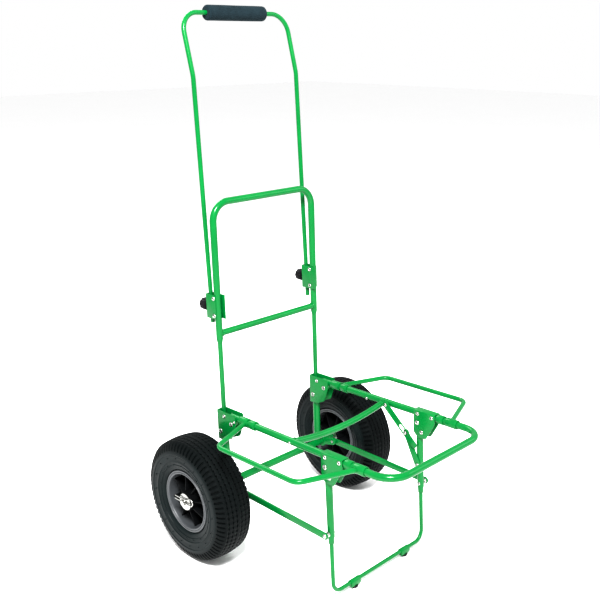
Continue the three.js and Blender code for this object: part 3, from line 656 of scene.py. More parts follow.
@dataclass(frozen=True)
class Finish:
    """What every finish has: a name, the record's slot, a colour, a roughness and a metalness."""

    name: str
    slot: str
    colour: tuple[float, float, float]
    roughness: float = 0.4
    metallic: float = 0.0

    def material(self) -> bpy.types.Material:
        """The finish's material, built the first time it is asked for."""
        found = bpy.data.materials.get(self.name)
        if found:
            return found
        made = bpy.data.materials.new(self.name)
        made.use_nodes = True
        wire = Wiring(made.node_tree)
        shader = next(n for n in made.node_tree.nodes if n.type == "BSDF_PRINCIPLED")
        shader.inputs["Metallic"].default_value = self.metallic
        place = wire.node("ShaderNodeTexCoord").outputs["Object"]
        self.wire(wire, shader, place)
        return made

    def wire(self, wire: Wiring, shader: bpy.types.Node, place: Socket) -> None:
        """Wires the finish's own pattern into the shader."""
        raise NotImplementedError

    def tone(self, gain: float) -> tuple[float, float, float, float]:
        """The colour made lighter or darker."""
        return (*(min(1.0, c * gain) for c in self.colour), 1.0)

    @staticmethod
    def group(wire: Wiring, tree: bpy.types.NodeTree, place: object, **values: float) -> bpy.types.Node:
        """Places a shared group with its own values."""
        made = wire.node("ShaderNodeGroup", node_tree=tree)
        wire.feed(made.inputs["Vector"], place)
        for label, value in values.items():
            made.inputs[label.replace("_", " ")].default_value = value
        return made

    @staticmethod
    def bump(wire: Wiring, shader: bpy.types.Node, height: object, depth_mm: float) -> None:
        """Raises the surface by a height, given in millimetres."""
        made = wire.node("ShaderNodeBump")
        made.inputs["Strength"].default_value = 1.0
        made.inputs["Distance"].default_value = depth_mm * MM
        wire.feed(made.inputs["Height"], height)
        wire.feed(shader.inputs["Normal"], made.outputs["Normal"])


@dataclass(frozen=True)
class PowderCoat(Finish):
    """Glossy powder coat with its orange peel."""

    peel_mm: float = 0.05

    def wire(self, wire: Wiring, shader: bpy.types.Node, place: Socket) -> None:
        """Cloudy tone, slight ripple and a few rub marks."""
        peel = self.group(wire, GroupLibrary.orange_peel(), place, Size=420.0, Cloud=16.0)
        rubbed = self.group(wire, GroupLibrary.scuffs(), place, Size=70.0, Reach=0.64)
        colour = wire.blend(peel.outputs["Mask"], self.tone(0.9), self.tone(1.06))
        colour = wire.blend(wire.maths("MULTIPLY", peel.outputs["Specks"], 0.25), colour, self.tone(1.5))
        wire.feed(shader.inputs["Base Color"], colour)
        shine = wire.ramp(peel.outputs["Mask"], 0.0, 1.0, self.roughness - 0.04, self.roughness + 0.05)
        rub = wire.maths("MULTIPLY", rubbed.outputs["Mask"], 0.14)
        wire.feed(shader.inputs["Roughness"], wire.maths("ADD", shine, rub))
        shader.inputs["Specular IOR Level"].default_value = 0.24
        shader.inputs["Coat Weight"].default_value = 0.05
        shader.inputs["Coat Roughness"].default_value = 0.12
        self.bump(wire, shader, peel.outputs["Height"], self.peel_mm)


@dataclass(frozen=True)
class TyreRubber(Finish):
    """Moulded rubber: a satin sidewall with fine rings, painted lighter than the matt tread as painted sheen.
    """

    axle: Pair = (0.0, 0.0)
    shoulder: float = 106.0

    def wire(self, wire: Wiring, shader: bpy.types.Node, place: Socket) -> None:
        """Sidewall and tread by distance from the axle, the sidewall painted lighter as painted sheen, with
        mould rings and bloom.
        """
        polar = self.group(wire, GroupLibrary.wheel_polar(), place, Axle_Y=self.axle[0], Axle_Z=self.axle[1])
        radius = polar.outputs["Radius"]
        tread = wire.ramp(radius, self.shoulder - 3, self.shoulder + 5)
        bloom = wire.ramp(wire.noise(place, 22.0, 5.0), 0.35, 0.7)
        # painted sheen: the sidewall's colour is lifted to 1.25-1.9 times the rubber's tone, against 0.62 on
        # the tread
        side = wire.blend(bloom, self.tone(1.25), self.tone(1.9))
        wire.feed(shader.inputs["Base Color"], wire.blend(tread, side, self.tone(0.62)))
        shine = wire.ramp(tread, 0.0, 1.0, self.roughness, self.roughness + 0.24)
        wire.feed(shader.inputs["Roughness"], wire.maths("ADD", shine, wire.maths("MULTIPLY", bloom, 0.08)))
        rings = wire.maths("SINE", wire.maths("MULTIPLY", radius, 5.2))
        fine = wire.noise(place, 1400.0, 2.0)
        shader.inputs["Specular IOR Level"].default_value = 0.1
        self.bump(wire, shader, wire.maths("ADD", wire.maths("MULTIPLY", rings, 0.16), fine), 0.06)


@dataclass(frozen=True)
class MouldedPlastic(Finish):
    """Satin moulded plastic with a fine spark-eroded grain."""

    grain: float = 900.0
    grain_mm: float = 0.04

    def wire(self, wire: Wiring, shader: bpy.types.Node, place: Socket) -> None:
        """Fine grain, faint flow marks and rub marks."""
        fine = wire.noise(place, self.grain, 3.0, 0.6)
        flow = wire.ramp(wire.noise(place, 18.0, 4.0), 0.35, 0.7)
        rubbed = self.group(wire, GroupLibrary.scuffs(), place, Size=120.0, Reach=0.58)
        colour = wire.blend(flow, self.tone(0.85), self.tone(1.2))
        shader.inputs["Specular IOR Level"].default_value = 0.05
        colour = wire.blend(wire.maths("MULTIPLY", rubbed.outputs["Mask"], 0.5), colour, self.tone(2.2))
        wire.feed(shader.inputs["Base Color"], colour)
        shine = wire.ramp(flow, 0.0, 1.0, self.roughness - 0.05, self.roughness + 0.07)
        wire.feed(shader.inputs["Roughness"], shine)
        self.bump(wire, shader, fine, self.grain_mm)


@dataclass(frozen=True)
class CellFoam(Finish):
    """Closed-cell foam rubber: a matt skin of small pores."""

    cell: float = 950.0

    def wire(self, wire: Wiring, shader: bpy.types.Node, place: Socket) -> None:
        """Pores at two sizes, with the pits darkened as painted shade."""
        cells = wire.node("ShaderNodeTexVoronoi", feature="F1")
        wire.feed(cells.inputs["Vector"], place)
        cells.inputs["Scale"].default_value = self.cell
        pits_and_painted_shade = wire.ramp(cells.outputs["Distance"], 0.15, 0.75)
        cloud = wire.ramp(wire.noise(place, 60.0, 5.0), 0.3, 0.72)
        # painted shade: the pits are coloured 0.6 of the foam's tone, the skin between them 1.35; the same
        # mask also sinks the pits in the bump
        colour = wire.blend(pits_and_painted_shade, self.tone(1.35), self.tone(0.6))
        worn_with_painted_shade = wire.blend(wire.maths("MULTIPLY", cloud, 0.5), colour, self.tone(1.7))
        wire.feed(shader.inputs["Base Color"], worn_with_painted_shade)
        shader.inputs["Roughness"].default_value = self.roughness
        shader.inputs["Specular IOR Level"].default_value = 0.08
        shader.inputs["Sheen Weight"].default_value = 0.03
        shader.inputs["Sheen Roughness"].default_value = 0.5
        height = wire.maths("ADD", wire.maths("MULTIPLY", pits_and_painted_shade, -0.6), wire.noise(place, 420.0, 4.0))
        self.bump(wire, shader, height, 0.35)


@dataclass(frozen=True)
class ZincPlate(Finish):
    """Bright zinc plate: fine drawn lines and a faint mottled bloom."""

    def wire(self, wire: Wiring, shader: bpy.types.Node, place: Socket) -> None:
        """Mottled tone and roughness over a fine grain."""
        spangle = wire.node("ShaderNodeTexVoronoi", feature="F1")
        wire.feed(spangle.inputs["Vector"], place)
        spangle.inputs["Scale"].default_value = 420.0
        tone = wire.ramp(spangle.outputs["Distance"], 0.1, 0.8)
        wire.feed(shader.inputs["Base Color"], wire.blend(tone, self.tone(1.05), self.tone(0.82)))
        cloud = wire.noise(place, 130.0, 4.0)
        shine = wire.ramp(cloud, 0.3, 0.7, self.roughness - 0.07, self.roughness + 0.1)
        wire.feed(shader.inputs["Roughness"], shine)
        self.bump(wire, shader, wire.noise(place, 1600.0, 2.0), 0.03)


@dataclass(frozen=True)
class PaleFloor(Finish):
    """The studio's plain pale floor."""

    def wire(self, wire: Wiring, shader: bpy.types.Node, place: Socket) -> None:
        """A barely uneven tone."""
        cloud = wire.noise(place, 1.5, 2.0)
        wire.feed(shader.inputs["Base Color"], wire.blend(cloud, self.tone(0.985), self.tone(1.0)))
        shader.inputs["Roughness"].default_value = self.roughness


GREEN = PowderCoat("green_powder_coat", "green_paint", (0.0, 0.15, 0.032), 0.22)
ZINC = ZincPlate("bright_zinc", "zinc", (0.46, 0.46, 0.44), 0.28, 1.0)
RIM = MouldedPlastic("rim_plastic", "rim_plastic", (0.003, 0.0038, 0.0042), 0.33)
RIM_WEB = MouldedPlastic("rim_web_plastic", "rim_plastic", (0.004, 0.0045, 0.005), 0.42)
KNOB = MouldedPlastic("knob_plastic", "black_plastic", (0.012, 0.012, 0.013), 0.38)
FOOT = MouldedPlastic("foot_rubber", "black_rubber", (0.014, 0.014, 0.015), 0.6, grain=700.0)
FOAM = CellFoam("grip_foam", "foam", (0.011, 0.021, 0.026), 0.93)


# ------------------------------------------------------------------ pieces


@dataclass
class Piece:
    """One piece being put together from shapes in its own frame, in millimetres."""

    name: str
    place: Matrix
    shapes: Shapes = field(default_factory=list)

    def dressed(self, finish: Finish, body: str, *nodes: str, sharp: float = 40.0) -> bpy.types.Object:
        """Finishes the piece: one mesh in place, its material, its body and the nodes that it stands for.

        Args:
            finish: its finish.
            body: the body that it rides on.
            nodes: the frame's nodes that it replaces.
            sharp: edges sharper than this many degrees stay crisp.
        Returns:
            The finished object.
        """
        whole = bmesh.new()
        for shape in self.shapes:
            bmesh.ops.recalc_face_normals(shape, faces=shape.faces)
            part = bpy.data.meshes.new("part")
            shape.to_mesh(part)
            shape.free()
            whole.from_mesh(part)
            bpy.data.meshes.remove(part)
        whole.transform(self.place)
        if self.place.determinant() < 0:
            bmesh.ops.reverse_faces(whole, faces=whole.faces)
        for face in whole.faces:
            face.smooth = True
        for edge in whole.edges:
            edge.smooth = edge.calc_face_angle(0) < math.radians(sharp)
        mesh = bpy.data.meshes.new(self.name)
        whole.to_mesh(mesh)
        whole.free()
        mesh.materials.append(finish.material())
        made = bpy.data.objects.new(self.name, mesh)
        bpy.context.scene.collection.objects.link(made)
        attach(made, body)
        if nodes:
            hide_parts(*nodes)
        LOG.info("%s on %s: %d faces", self.name, body, len(mesh.polygons))
        return made


# ------------------------------------------------------------------ wheels and axle


@dataclass
class Wheel:
    """A wheel with a ribbed pneumatic tyre on a spoked plastic rim, and its washers and hairpin."""

    places: Places
    side: Side
    track: float = 430.0
    tyre_radius: float = 130.0
    half_tyre: float = 42.0
    pitches: int = 72
    groove: float = 4.0
    slot_depth: float = 3.0
    ribs: int = 8
    first_rib: float = 0.2
    hub_half: float = 34.5
    axle_radius: float = 6.0
    washer: Pair = (18.0, 2.0)
    pin_from_middle: float = 254.4
    nubs: int = 18

    @property
    def place(self) -> Matrix:
        """The wheel's own place: its centre, with +X pointing outwards along the axle."""
        turn = Matrix.Identity(4) if self.side is Side.LEFT else Matrix.Rotation(math.pi, 4, "Z")
        return self.places.cart @ Matrix.Translation((self.side.x(self.track / 2), 0, 0)) @ turn

    def tread_half(self) -> list[tuple[float, float, str]]:
        """Half the tyre's section, crown first: radius, distance from the middle, and the row's kind."""
        rows: list[tuple[float, float, str]] = [(0.3, 0.0, "plain"), (0.3, 2.2, "plain")]
        ribs = ((4.6, 7.0, 0.5, 0.6), (14.2, 16.4, 1.3, 1.5), (23.6, 25.6, 2.6, 3.0))
        for inner, outer, drop, drop_out in ribs:
            rows += [(drop, inner, "edge"), (drop + self.groove, inner + 0.5, "floor")]
            rows += [(drop_out + self.groove, outer - 0.5, "floor"), (drop_out, outer, "back_edge")]
            rows.append((drop_out + 0.2, (outer + inner) / 2 + 4.6, "plain"))
        slots = ((6.6, 33.0), (9.6, 35.6), (14.2, 38.3), (19.6, 40.2))
        rows.append((4.6, 30.4, "slot_start"))
        rows += [(drop, x, "slot") for drop, x in slots]
        rows.append((21.6, 40.7, "slot_end"))
        wide = self.half_tyre
        sidewall = ((24.6, 41.4), (27.0, wide), (29.0, wide), (30.0, wide - 0.9), (36.0, wide - 0.6))
        rings = ((42.0, 40.5), (43.0, 41.0), (44.4, 40.8), (45.2, 39.7))
        rings += ((50.5, 38.4), (51.2, 39.0), (52.6, 38.7), (53.4, 37.4))
        bead = ((57.6, 36.2), (61.0, 34.9), (62.6, 33.0), (63.0, 30.2), (68.3, 29.4))
        rows += [(drop, x, "plain") for drop, x in sidewall + rings + bead]
        return [(self.tyre_radius - drop, x, kind) for drop, x, kind in rows]

    def tyre(self) -> BMesh:
        """Turns the tyre's section, then cuts the shoulder slots and the saw-toothed rib edges into it."""
        half = self.tread_half()
        whole = [(radius, -x, kind) for radius, x, kind in reversed(half[1:])] + half
        columns = 4 * self.pitches
        bm = bmesh.new()
        kinds = bm.verts.layers.int.new("row")
        verts = []
        for index, (radius, x, _) in enumerate(whole):
            vert = bm.verts.new((x, 0, radius))
            vert[kinds] = index
            verts.append(vert)
        edges = [bm.edges.new(pair) for pair in [*zip(verts, verts[1:]), (verts[-1], verts[0])]]
        geom = verts + edges
        bmesh.ops.spin(
            bm, geom=geom, cent=(0, 0, 0), axis=(1, 0, 0), angle=math.tau, steps=columns, use_merge=True
        )
        step = math.tau / columns
        shares = (0.0, 0.56, 0.64, 0.92)
        teeth = (1.2, -1.2, 1.2, 0.2)
        for vert in bm.verts:
            kind = whole[vert[kinds]][2]
            outward = math.copysign(1, vert.co.x)
            angle = math.atan2(vert.co.z, vert.co.y)
            column = round(angle / step)
            phase = column % 4
            radius = math.hypot(vert.co.y, vert.co.z)
            shift = 0 if outward > 0 else 2
            fresh = (column - phase + 4 * shares[phase]) * step
            if kind in ("edge", "back_edge"):
                vert.co.x += outward * teeth[(phase + shift) % 4] * (1 if kind == "edge" else -1)
                radius -= 0.9 if (phase + shift) % 4 in (2, 3) else 0.0
            if kind == "slot" and phase in (2, 3):
                radius -= self.slot_depth
                vert.co.x -= outward * self.slot_depth * 0.55
            vert.co.y, vert.co.z = radius * math.cos(fresh), radius * math.sin(fresh)
        return bm

    def vent_nubs(self) -> Shapes:
        """Small moulding nubs in two rings on both sidewalls."""
        nub = [(0, 2.2), (0.8, 2.1), (1.1, 0), (1.1, -0.5)]
        made = []
        for radius, x, offset in ((94.0, 41.2, 0.0), (79.8, 38.3, 0.5)):
            for face in (-1, 1):
                for k in range(self.nubs):
                    angle = math.tau * (k + offset + 0.15 * math.sin(7 * k)) / self.nubs
                    at = (face * (x - 0.5), radius * math.cos(angle), radius * math.sin(angle))
                    made.append(turned(nub, at, (face, 0, 0), steps=6))
        return made

    @staticmethod
    def mirrored(half: list[Pair], steps: int) -> BMesh:
        """Turns a section about the axle: the half given, and the same half on the wheel's other face."""
        profile = half + [(r, -x) for r, x in reversed(half)]
        return turned(profile, (0, 0, 0), (1, 0, 0), closed=True, steps=steps)

    def rim(self) -> Shapes:
        """The rim's barrel and stepped flanges."""
        half = [
            (61.0, 29.2),
            (65.2, 30.6),
            (66.0, 31.6),
            (66.0, 33.0),
            (65.4, 34.2),
            (64.2, 34.5),
            (62.8, 34.2),
            (62.2, 33.2),
            (61.4, 33.2),
            (60.8, 34.1),
            (59.6, 34.4),
            (58.4, 34.0),
            (57.6, 32.8),
            (57.2, 30.0),
            (56.6, 9.0),
        ]
        return [self.mirrored(half, 96)]

    def rim_web(self) -> Shapes:
        """The rim's disc, its hub and its thin radial ribs on both faces."""
        half = [
            (57.4, 8.0),
            (54.0, 6.0),
            (45.0, 5.2),
            (28.0, 5.2),
            (24.0, 6.2),
            (21.6, 9.5),
            (21.0, 14.0),
            (20.4, 32.6),
            (19.4, 33.7),
            (16.0, 33.7),
            (15.4, 32.6),
            (12.4, 32.6),
            (11.8, 33.7),
            (9.0, 33.7),
        ]
        made = [self.mirrored(half, 72)]
        outline = [(18.0, 3.0), (57.6, 3.0), (57.6, 24.0), (50.0, 23.0)]
        outline += [(26.0, 28.5), (20.0, 29.5), (18.0, 29.0)]
        boss = [(0, 5), (3.0, 5), (4.4, 4.4), (4.8, 0), (4.8, -1)]
        stand_up = Matrix(((0, 1, 0, 0), (1, 0, 0, 0), (0, 0, -1, 0), (0, 0, 0, 1)))
        for face in (0.0, math.pi):
            for k in range(self.ribs):
                rib = outlined(outline, 2.6, 0.5)
                rib.transform(stand_up)
                turn = Matrix.Rotation(math.tau * k / self.ribs + self.first_rib, 4, "X")
                rib.transform(turn @ Matrix.Rotation(face, 4, "Z"))
                made.append(rib)
        for face in (-1, 1):
            for k in range(self.ribs // 2):
                angle = math.tau * (k + 0.5) / (self.ribs // 2)
                at = (face * 5.2, 38 * math.cos(angle), 38 * math.sin(angle))
                made.append(turned(boss, at, (face, 0, 0), steps=6))
        return made

    def washers(self) -> Shapes:
        """The outer washer: flat, with a raised step round its hole."""
        radius, thickness = self.washer
        low = self.hub_half + 0.3
        high = low + thickness
        profile = [
            (self.axle_radius + 0.4, low),
            (radius - 0.5, low),
            (radius, low + 0.5),
            (radius, high - 1.1),
            (radius - 0.5, high - 0.6),
            (11.6, high - 0.6),
            (10.8, high - 0.1),
            (10.2, high),
            (self.axle_radius + 0.4, high),
        ]
        return [turned(profile, (0, 0, 0), (1, 0, 0), closed=True, steps=48)]

    def hairpin(self) -> Shapes:
        """The hairpin: a prong through the axle, a ring in front, and a wavy prong over the axle."""
        route = [(0, 28, 0.5), (0, -31, 0), (0, -31, 20), (0, -11, 8.6), (0, 27, 7.2)]
        return [swept(route, [8, 7, 12], 1.5, sides=12)]

    def build(self) -> None:
        """Makes the wheel's pieces."""
        word, body = self.side.word, f"wheel_{self.side.word}"
        axle = Vector(joint(f"wheel_{word}_spin")["pos_m"])
        rubber = TyreRubber("tyre_rubber", "tyre", (0.0032, 0.0058, 0.006), 0.33, axle=(axle.y, axle.z))
        casing = Piece(f"tyre_{word}_skin", self.place, [self.tyre(), *self.vent_nubs()])
        casing.dressed(rubber, body, f"tyre_{word}", sharp=38)
        Piece(f"rim_{word}_flanges", self.place, self.rim()).dressed(RIM, body, f"wheel_rim_{word}")
        Piece(f"rim_{word}_web", self.place, self.rim_web()).dressed(RIM_WEB, body)
        washer = Piece(f"washer_{word}_outer", self.place, self.washers())
        washer.dressed(ZINC, "frame", f"outer_washer_{word}")
        pin_place = self.places.cart @ Matrix.Translation((self.side.x(self.pin_from_middle), 0, 0))
        Piece(f"hairpin_{word}_wire", pin_place, self.hairpin()).dressed(ZINC, "frame", f"hairpin_{word}")


@dataclass
class Axle:
    """The axle rod and the tube that it runs through."""

    places: Places
    half_length: float = 259.0
    radius: float = 6.0
    tube_half: float = 177.5
    tube_radius: float = 8.0

    def build(self) -> None:
        """Makes the rod with its chamfered ends, and the tube."""
        end, r = self.half_length, self.radius
        profile = [(0, -end), (r - 1, -end), (r, 1 - end), (r, end - 1), (r - 1, end), (0, end)]
        rod = turned(profile, axis=(1, 0, 0))
        Piece("axle_rod_bar", self.places.cart, [rod]).dressed(ZINC, "frame", "axle_rod")
        shell = ringed(self.tube_radius, r + 0.4, -self.tube_half, self.tube_half, (0, 0, 0), (1, 0, 0))
        Piece("axle_tube_shell", self.places.cart, [shell]).dressed(GREEN, "frame", "axle_tube")


# ------------------------------------------------------------------ back frame


@dataclass
class BackFrame:
    """The arch, its crossbar, the lower legs with their brackets, and the lugs for the struts."""

    places: Places
    plane: float = 135.0
    leg_y: float = 3.0
    tube: float = 7.0
    thin: float = 5.0
    thick: float = 8.0
    top: float = 594.0
    bend: float = 38.0
    crossbar: float = 330.0
    crossbar_radius: float = 6.5
    neck_drop: float = 12.0
    leg_bottom: float = 76.0
    lower_top: float = 134.0
    bracket_half: float = 10.55
    lug_outer: float = 149.0
    pivot: Pair = (-32.0, 145.0)
    strut_pivot: Pair = (-35.6, 8.05)

    def arch(self) -> Shapes:
        """The arch with its crossbar, drawn down to thinner legs below it, with its weld beads."""
        p, y, low = self.plane, self.leg_y, self.crossbar - self.neck_drop
        route = [(-p, y, low), (-p, y, self.top), (p, y, self.top), (p, y, low)]
        bar = [(-p, y, self.crossbar), (p, y, self.crossbar)]
        shapes = [swept(route, [self.bend] * 2, self.tube), swept(bar, [], self.crossbar_radius)]
        for side in Side:
            x = side.x(p)
            neck = [(0, low - 9), (self.thin, low - 9), (self.thin + 0.4, low - 7)]
            neck += [(self.tube - 0.3, low - 1), (self.tube, low + 1), (0, low + 1)]
            shapes.append(turned(neck, (x, y, 0), (0, 0, 1)))
            shapes.append(swept([(x, y, self.leg_bottom), (x, y, low)], [], self.thin))
            shapes.append(beaded((side.x(p - 6.2), y, self.crossbar), (1, 0, 0), self.crossbar_radius + 0.2))
        return shapes

    def lower_leg(self, side: Side) -> Shapes:
        """The thick lower leg, open at its top, welded to the axle tube."""
        x = side.x(self.plane)
        leg = swept([(x, self.leg_y, 2), (x, self.leg_y, self.lower_top)], [], self.thick, wall=2.3)
        return [leg, beaded((x, self.leg_y, 7.6), (0, 0.25, 1), self.thick + 0.3, 1.5)]

    def bracket(self, side: Side) -> Shapes:
        """The channel that is folded round the leg and carries the platform's tail."""
        cuts = (((0, -33, 113), (0, -34, -13)), ((0, -8, 102), (0, -11, -25)))
        web = self.leg_y + self.thick + 1.25
        shape = Channel(self.bracket_half, -46.0, web, 102.0, 166.0, cuts=cuts).made()
        shape.transform(Matrix.Translation((side.x(self.plane), 0, 0)))
        return [shape]

    def lug(self, side: Side) -> Shapes:
        """The lug on the axle tube that holds a strut's tail."""
        x0, x1 = sorted((side.x(self.plane + self.thick + 1), side.x(self.lug_outer)))
        ring = ringed(13.0, 8.4, x0, x1, (0, 0, 0), (1, 0, 0))
        return [linked((-8, 1.8), self.strut_pivot, 8.5, x0 + 0.3, x1 - 0.3), ring]

    def rivets(self) -> Shapes:
        """Every rivet head on the back frame's brackets, on both faces of both sides."""
        face = self.bracket_half + HALF_SHEET
        spots = [(-11.0, 157.0, 4.2), (self.leg_y, 121.0, 5.2)]
        made = []
        for side in Side:
            for way in (-1, 1):
                for y, z, radius in spots:
                    made.append(riveted((side.x(self.plane) + way * face, y, z), (way, 0, 0), radius))
            made.append(riveted((side.x(self.plane + face), -42.0, 152.0), (side.value, 0, 0), 3.0))
        return made

    def build(self) -> None:
        """Makes the back frame's pieces."""
        cart = self.places.cart
        Piece("back_arch", cart, self.arch()).dressed(GREEN, "frame", "back_frame")
        for side in Side:
            word = side.word
            rows = (
                (f"leg_{word}_lower", self.lower_leg(side), f"lower_leg_{word}"),
                (f"bracket_{word}_rear", self.bracket(side), f"rear_bracket_{word}"),
                (f"lug_{word}_strut", self.lug(side), f"strut_lug_{word}"),
            )
            for name, shapes, node in rows:
                Piece(name, cart, shapes).dressed(GREEN, "frame", node)
            pin = PivotPin(self.bracket_half + HALF_SHEET, self.pivot).shapes(side.x(self.plane))
            Piece(f"pin_{word}_platform", cart, pin).dressed(ZINC, "frame", f"platform_pin_{word}")
        Piece("rivets_back_frame", cart, self.rivets()).dressed(ZINC, "frame")


@dataclass(frozen=True)
class PivotPin:
    """A pin through two cheeks, with a rivet's head at each end."""

    reach: float
    eye: Pair
    radius: float = 3.0
    head: float = 5.0

    def shapes(self, x: float) -> Shapes:
        """The shank and both heads, about a side plane."""
        shank = shanked(x - self.reach, x + self.reach, self.eye, self.radius, 32)
        ends = ((way, (x + way * (self.reach + 0.1), *self.eye)) for way in (-1, 1))
        return [shank, *(riveted(at, (way, 0, 0), self.head, 1.8) for way, at in ends)]


# ------------------------------------------------------------------ handle


@dataclass
class Handle:
    """The sliding handle with its foam grip, and the clamps and knobs that hold it."""

    places: Places
    plane: float = 135.0
    tube: float = 4.5
    straight: float = 482.0
    bend: float = math.radians(11.5)
    top_length: float = 121.0
    corner: float = 38.0
    grip: Pair = (148.0, 14.9)
    clamp_z: dict[Side, float] = field(default_factory=lambda: dict(zip(Side, (386.0, 395.5))))
    clamp_height: float = 50.0
    clamp_half: float = 8.15
    clamp_web: float = 29.0
    knob_radius: float = 12.5
    flutes: int = 10

    def top(self) -> Pair:
        """y and z of the handle's top bar in its own frame."""
        return self.top_length * math.sin(self.bend), self.straight + self.top_length * math.cos(self.bend)

    def tubing(self) -> Shapes:
        """Both legs, bent back near the top, and the bar between them."""
        y, z = self.top()
        p = self.plane
        route = [(-p, 0, 0), (-p, 0, self.straight), (-p, y, z), (p, y, z), (p, 0, self.straight), (p, 0, 0)]
        return [swept(route, [60, self.corner, self.corner, 60], self.tube, wall=1.1)]

    def foam(self) -> Shapes:
        """The grip: a soft sleeve, a little uneven, with rounded ends."""
        length, radius = self.grip
        half = length / 2
        rows = 64
        end = [(self.tube + 0.4, 0.0), (radius - 3.6, 0.0), (radius - 1.5, 0.8), (radius - 0.4, 2.4)]
        profile = [(r, -half + x) for r, x in end]
        profile += [(radius, -half + 4.5 + (length - 9) * k / rows) for k in range(rows + 1)]
        profile += [(r, half - x) for r, x in reversed(end)]
        at = Vector((0, *self.top()))
        sleeve = turned(profile, at, (1, 0, 0), closed=True, steps=64)
        for vert in sleeve.verts:
            out = vert.co - at
            out.x = 0
            if out.length > self.tube + 2:
                dent = 0.5 + 0.5 * noise.noise(vert.co * 0.03)
                vert.co -= out.normalized() * 0.55 * dent
        return [sleeve]

    def clamp(self, side: Side) -> Shapes:
        """The channel round the frame's leg and the saddle between the two tubes."""
        half = self.clamp_height / 2
        low, high = self.clamp_z[side] - half, self.clamp_z[side] + half
        shape = Channel(self.clamp_half, 0.0, self.clamp_web + HALF_SHEET, low, high, corner=3.0).made()
        x = side.x(self.plane)
        shape.transform(Matrix.Translation((x, 0, 0)))
        saddle = blocked((x - 7.9, 10.6, low + 12), (x + 7.9, 16.2, high - 12), 0.8)
        cheek = self.clamp_half
        x0, x1 = sorted((side.x(self.plane - cheek + 0.7), side.x(self.plane - cheek - 0.7)))
        return [shape, saddle, blocked((x0, -10.0, low + 0.1), (x1, 3.5, high - 0.1), 0.3)]

    def knob(self, side: Side) -> Shapes:
        """The fluted knob on its stud."""
        back = self.clamp_web + 1.5
        r = self.knob_radius
        profile = [
            (0, 28.2),
            (2.7, 28.2),
            (2.7, back + 0.5),
            (5.2, back + 0.5),
            (5.6, back + 1.0),
            (5.6, back + 3.4),
            (r - 1.8, back + 3.6),
            (r - 0.4, back + 4.4),
            (r, back + 5.6),
            (r, back + 15.9),
            (r - 0.5, back + 17.5),
            (r - 2.0, back + 19.1),
            (r - 4.4, back + 19.8),
            (r - 5.2, back + 19.1),
            (0, back + 19.1),
        ]
        at = Vector((side.x(self.plane), 0, self.clamp_z[side]))
        shape = turned(profile, at, (0, 1, 0), steps=self.flutes * 8)
        for vert in shape.verts:
            out = vert.co - at
            along, out.y = out.y, 0
            if out.length > r - 2.1 and back + 3.5 < along < back + 19.3:
                wave = 0.5 - 0.5 * math.cos(self.flutes * math.atan2(out.z, out.x))
                vert.co -= out.normalized() * 1.1 * wave**2
        return [shape]

    def rivets(self) -> Shapes:
        """The clamps' rivets through the frame's legs."""
        face = self.clamp_half + HALF_SHEET
        return [
            riveted((side.x(self.plane) + way * face, 5.0, self.clamp_z[side] + step), (way, 0, 0), 4.4)
            for side in Side
            for way in (-1, 1)
            for step in (-18.0, 18.0)
        ]

    def build(self) -> None:
        """Makes the handle's pieces."""
        cart = self.places.cart
        Piece("handle_bar", self.places.handle, self.tubing()).dressed(GREEN, "handle", "handle_tube")
        grip = Piece("grip_sleeve", self.places.handle, self.foam()).dressed(FOAM, "handle", "foam_grip")
        for side in Side:
            word = side.word
            clamp, knob = self.clamp(side), self.knob(side)
            Piece(f"clamp_{word}_channel", cart, clamp).dressed(GREEN, "frame", f"handle_clamp_{word}")
            Piece(f"knob_{word}_head", cart, knob).dressed(KNOB, f"knob_{word}", f"clamp_knob_{word}")
        Piece("rivets_clamps", cart, self.rivets()).dressed(ZINC, "frame")


# ------------------------------------------------------------------ platform


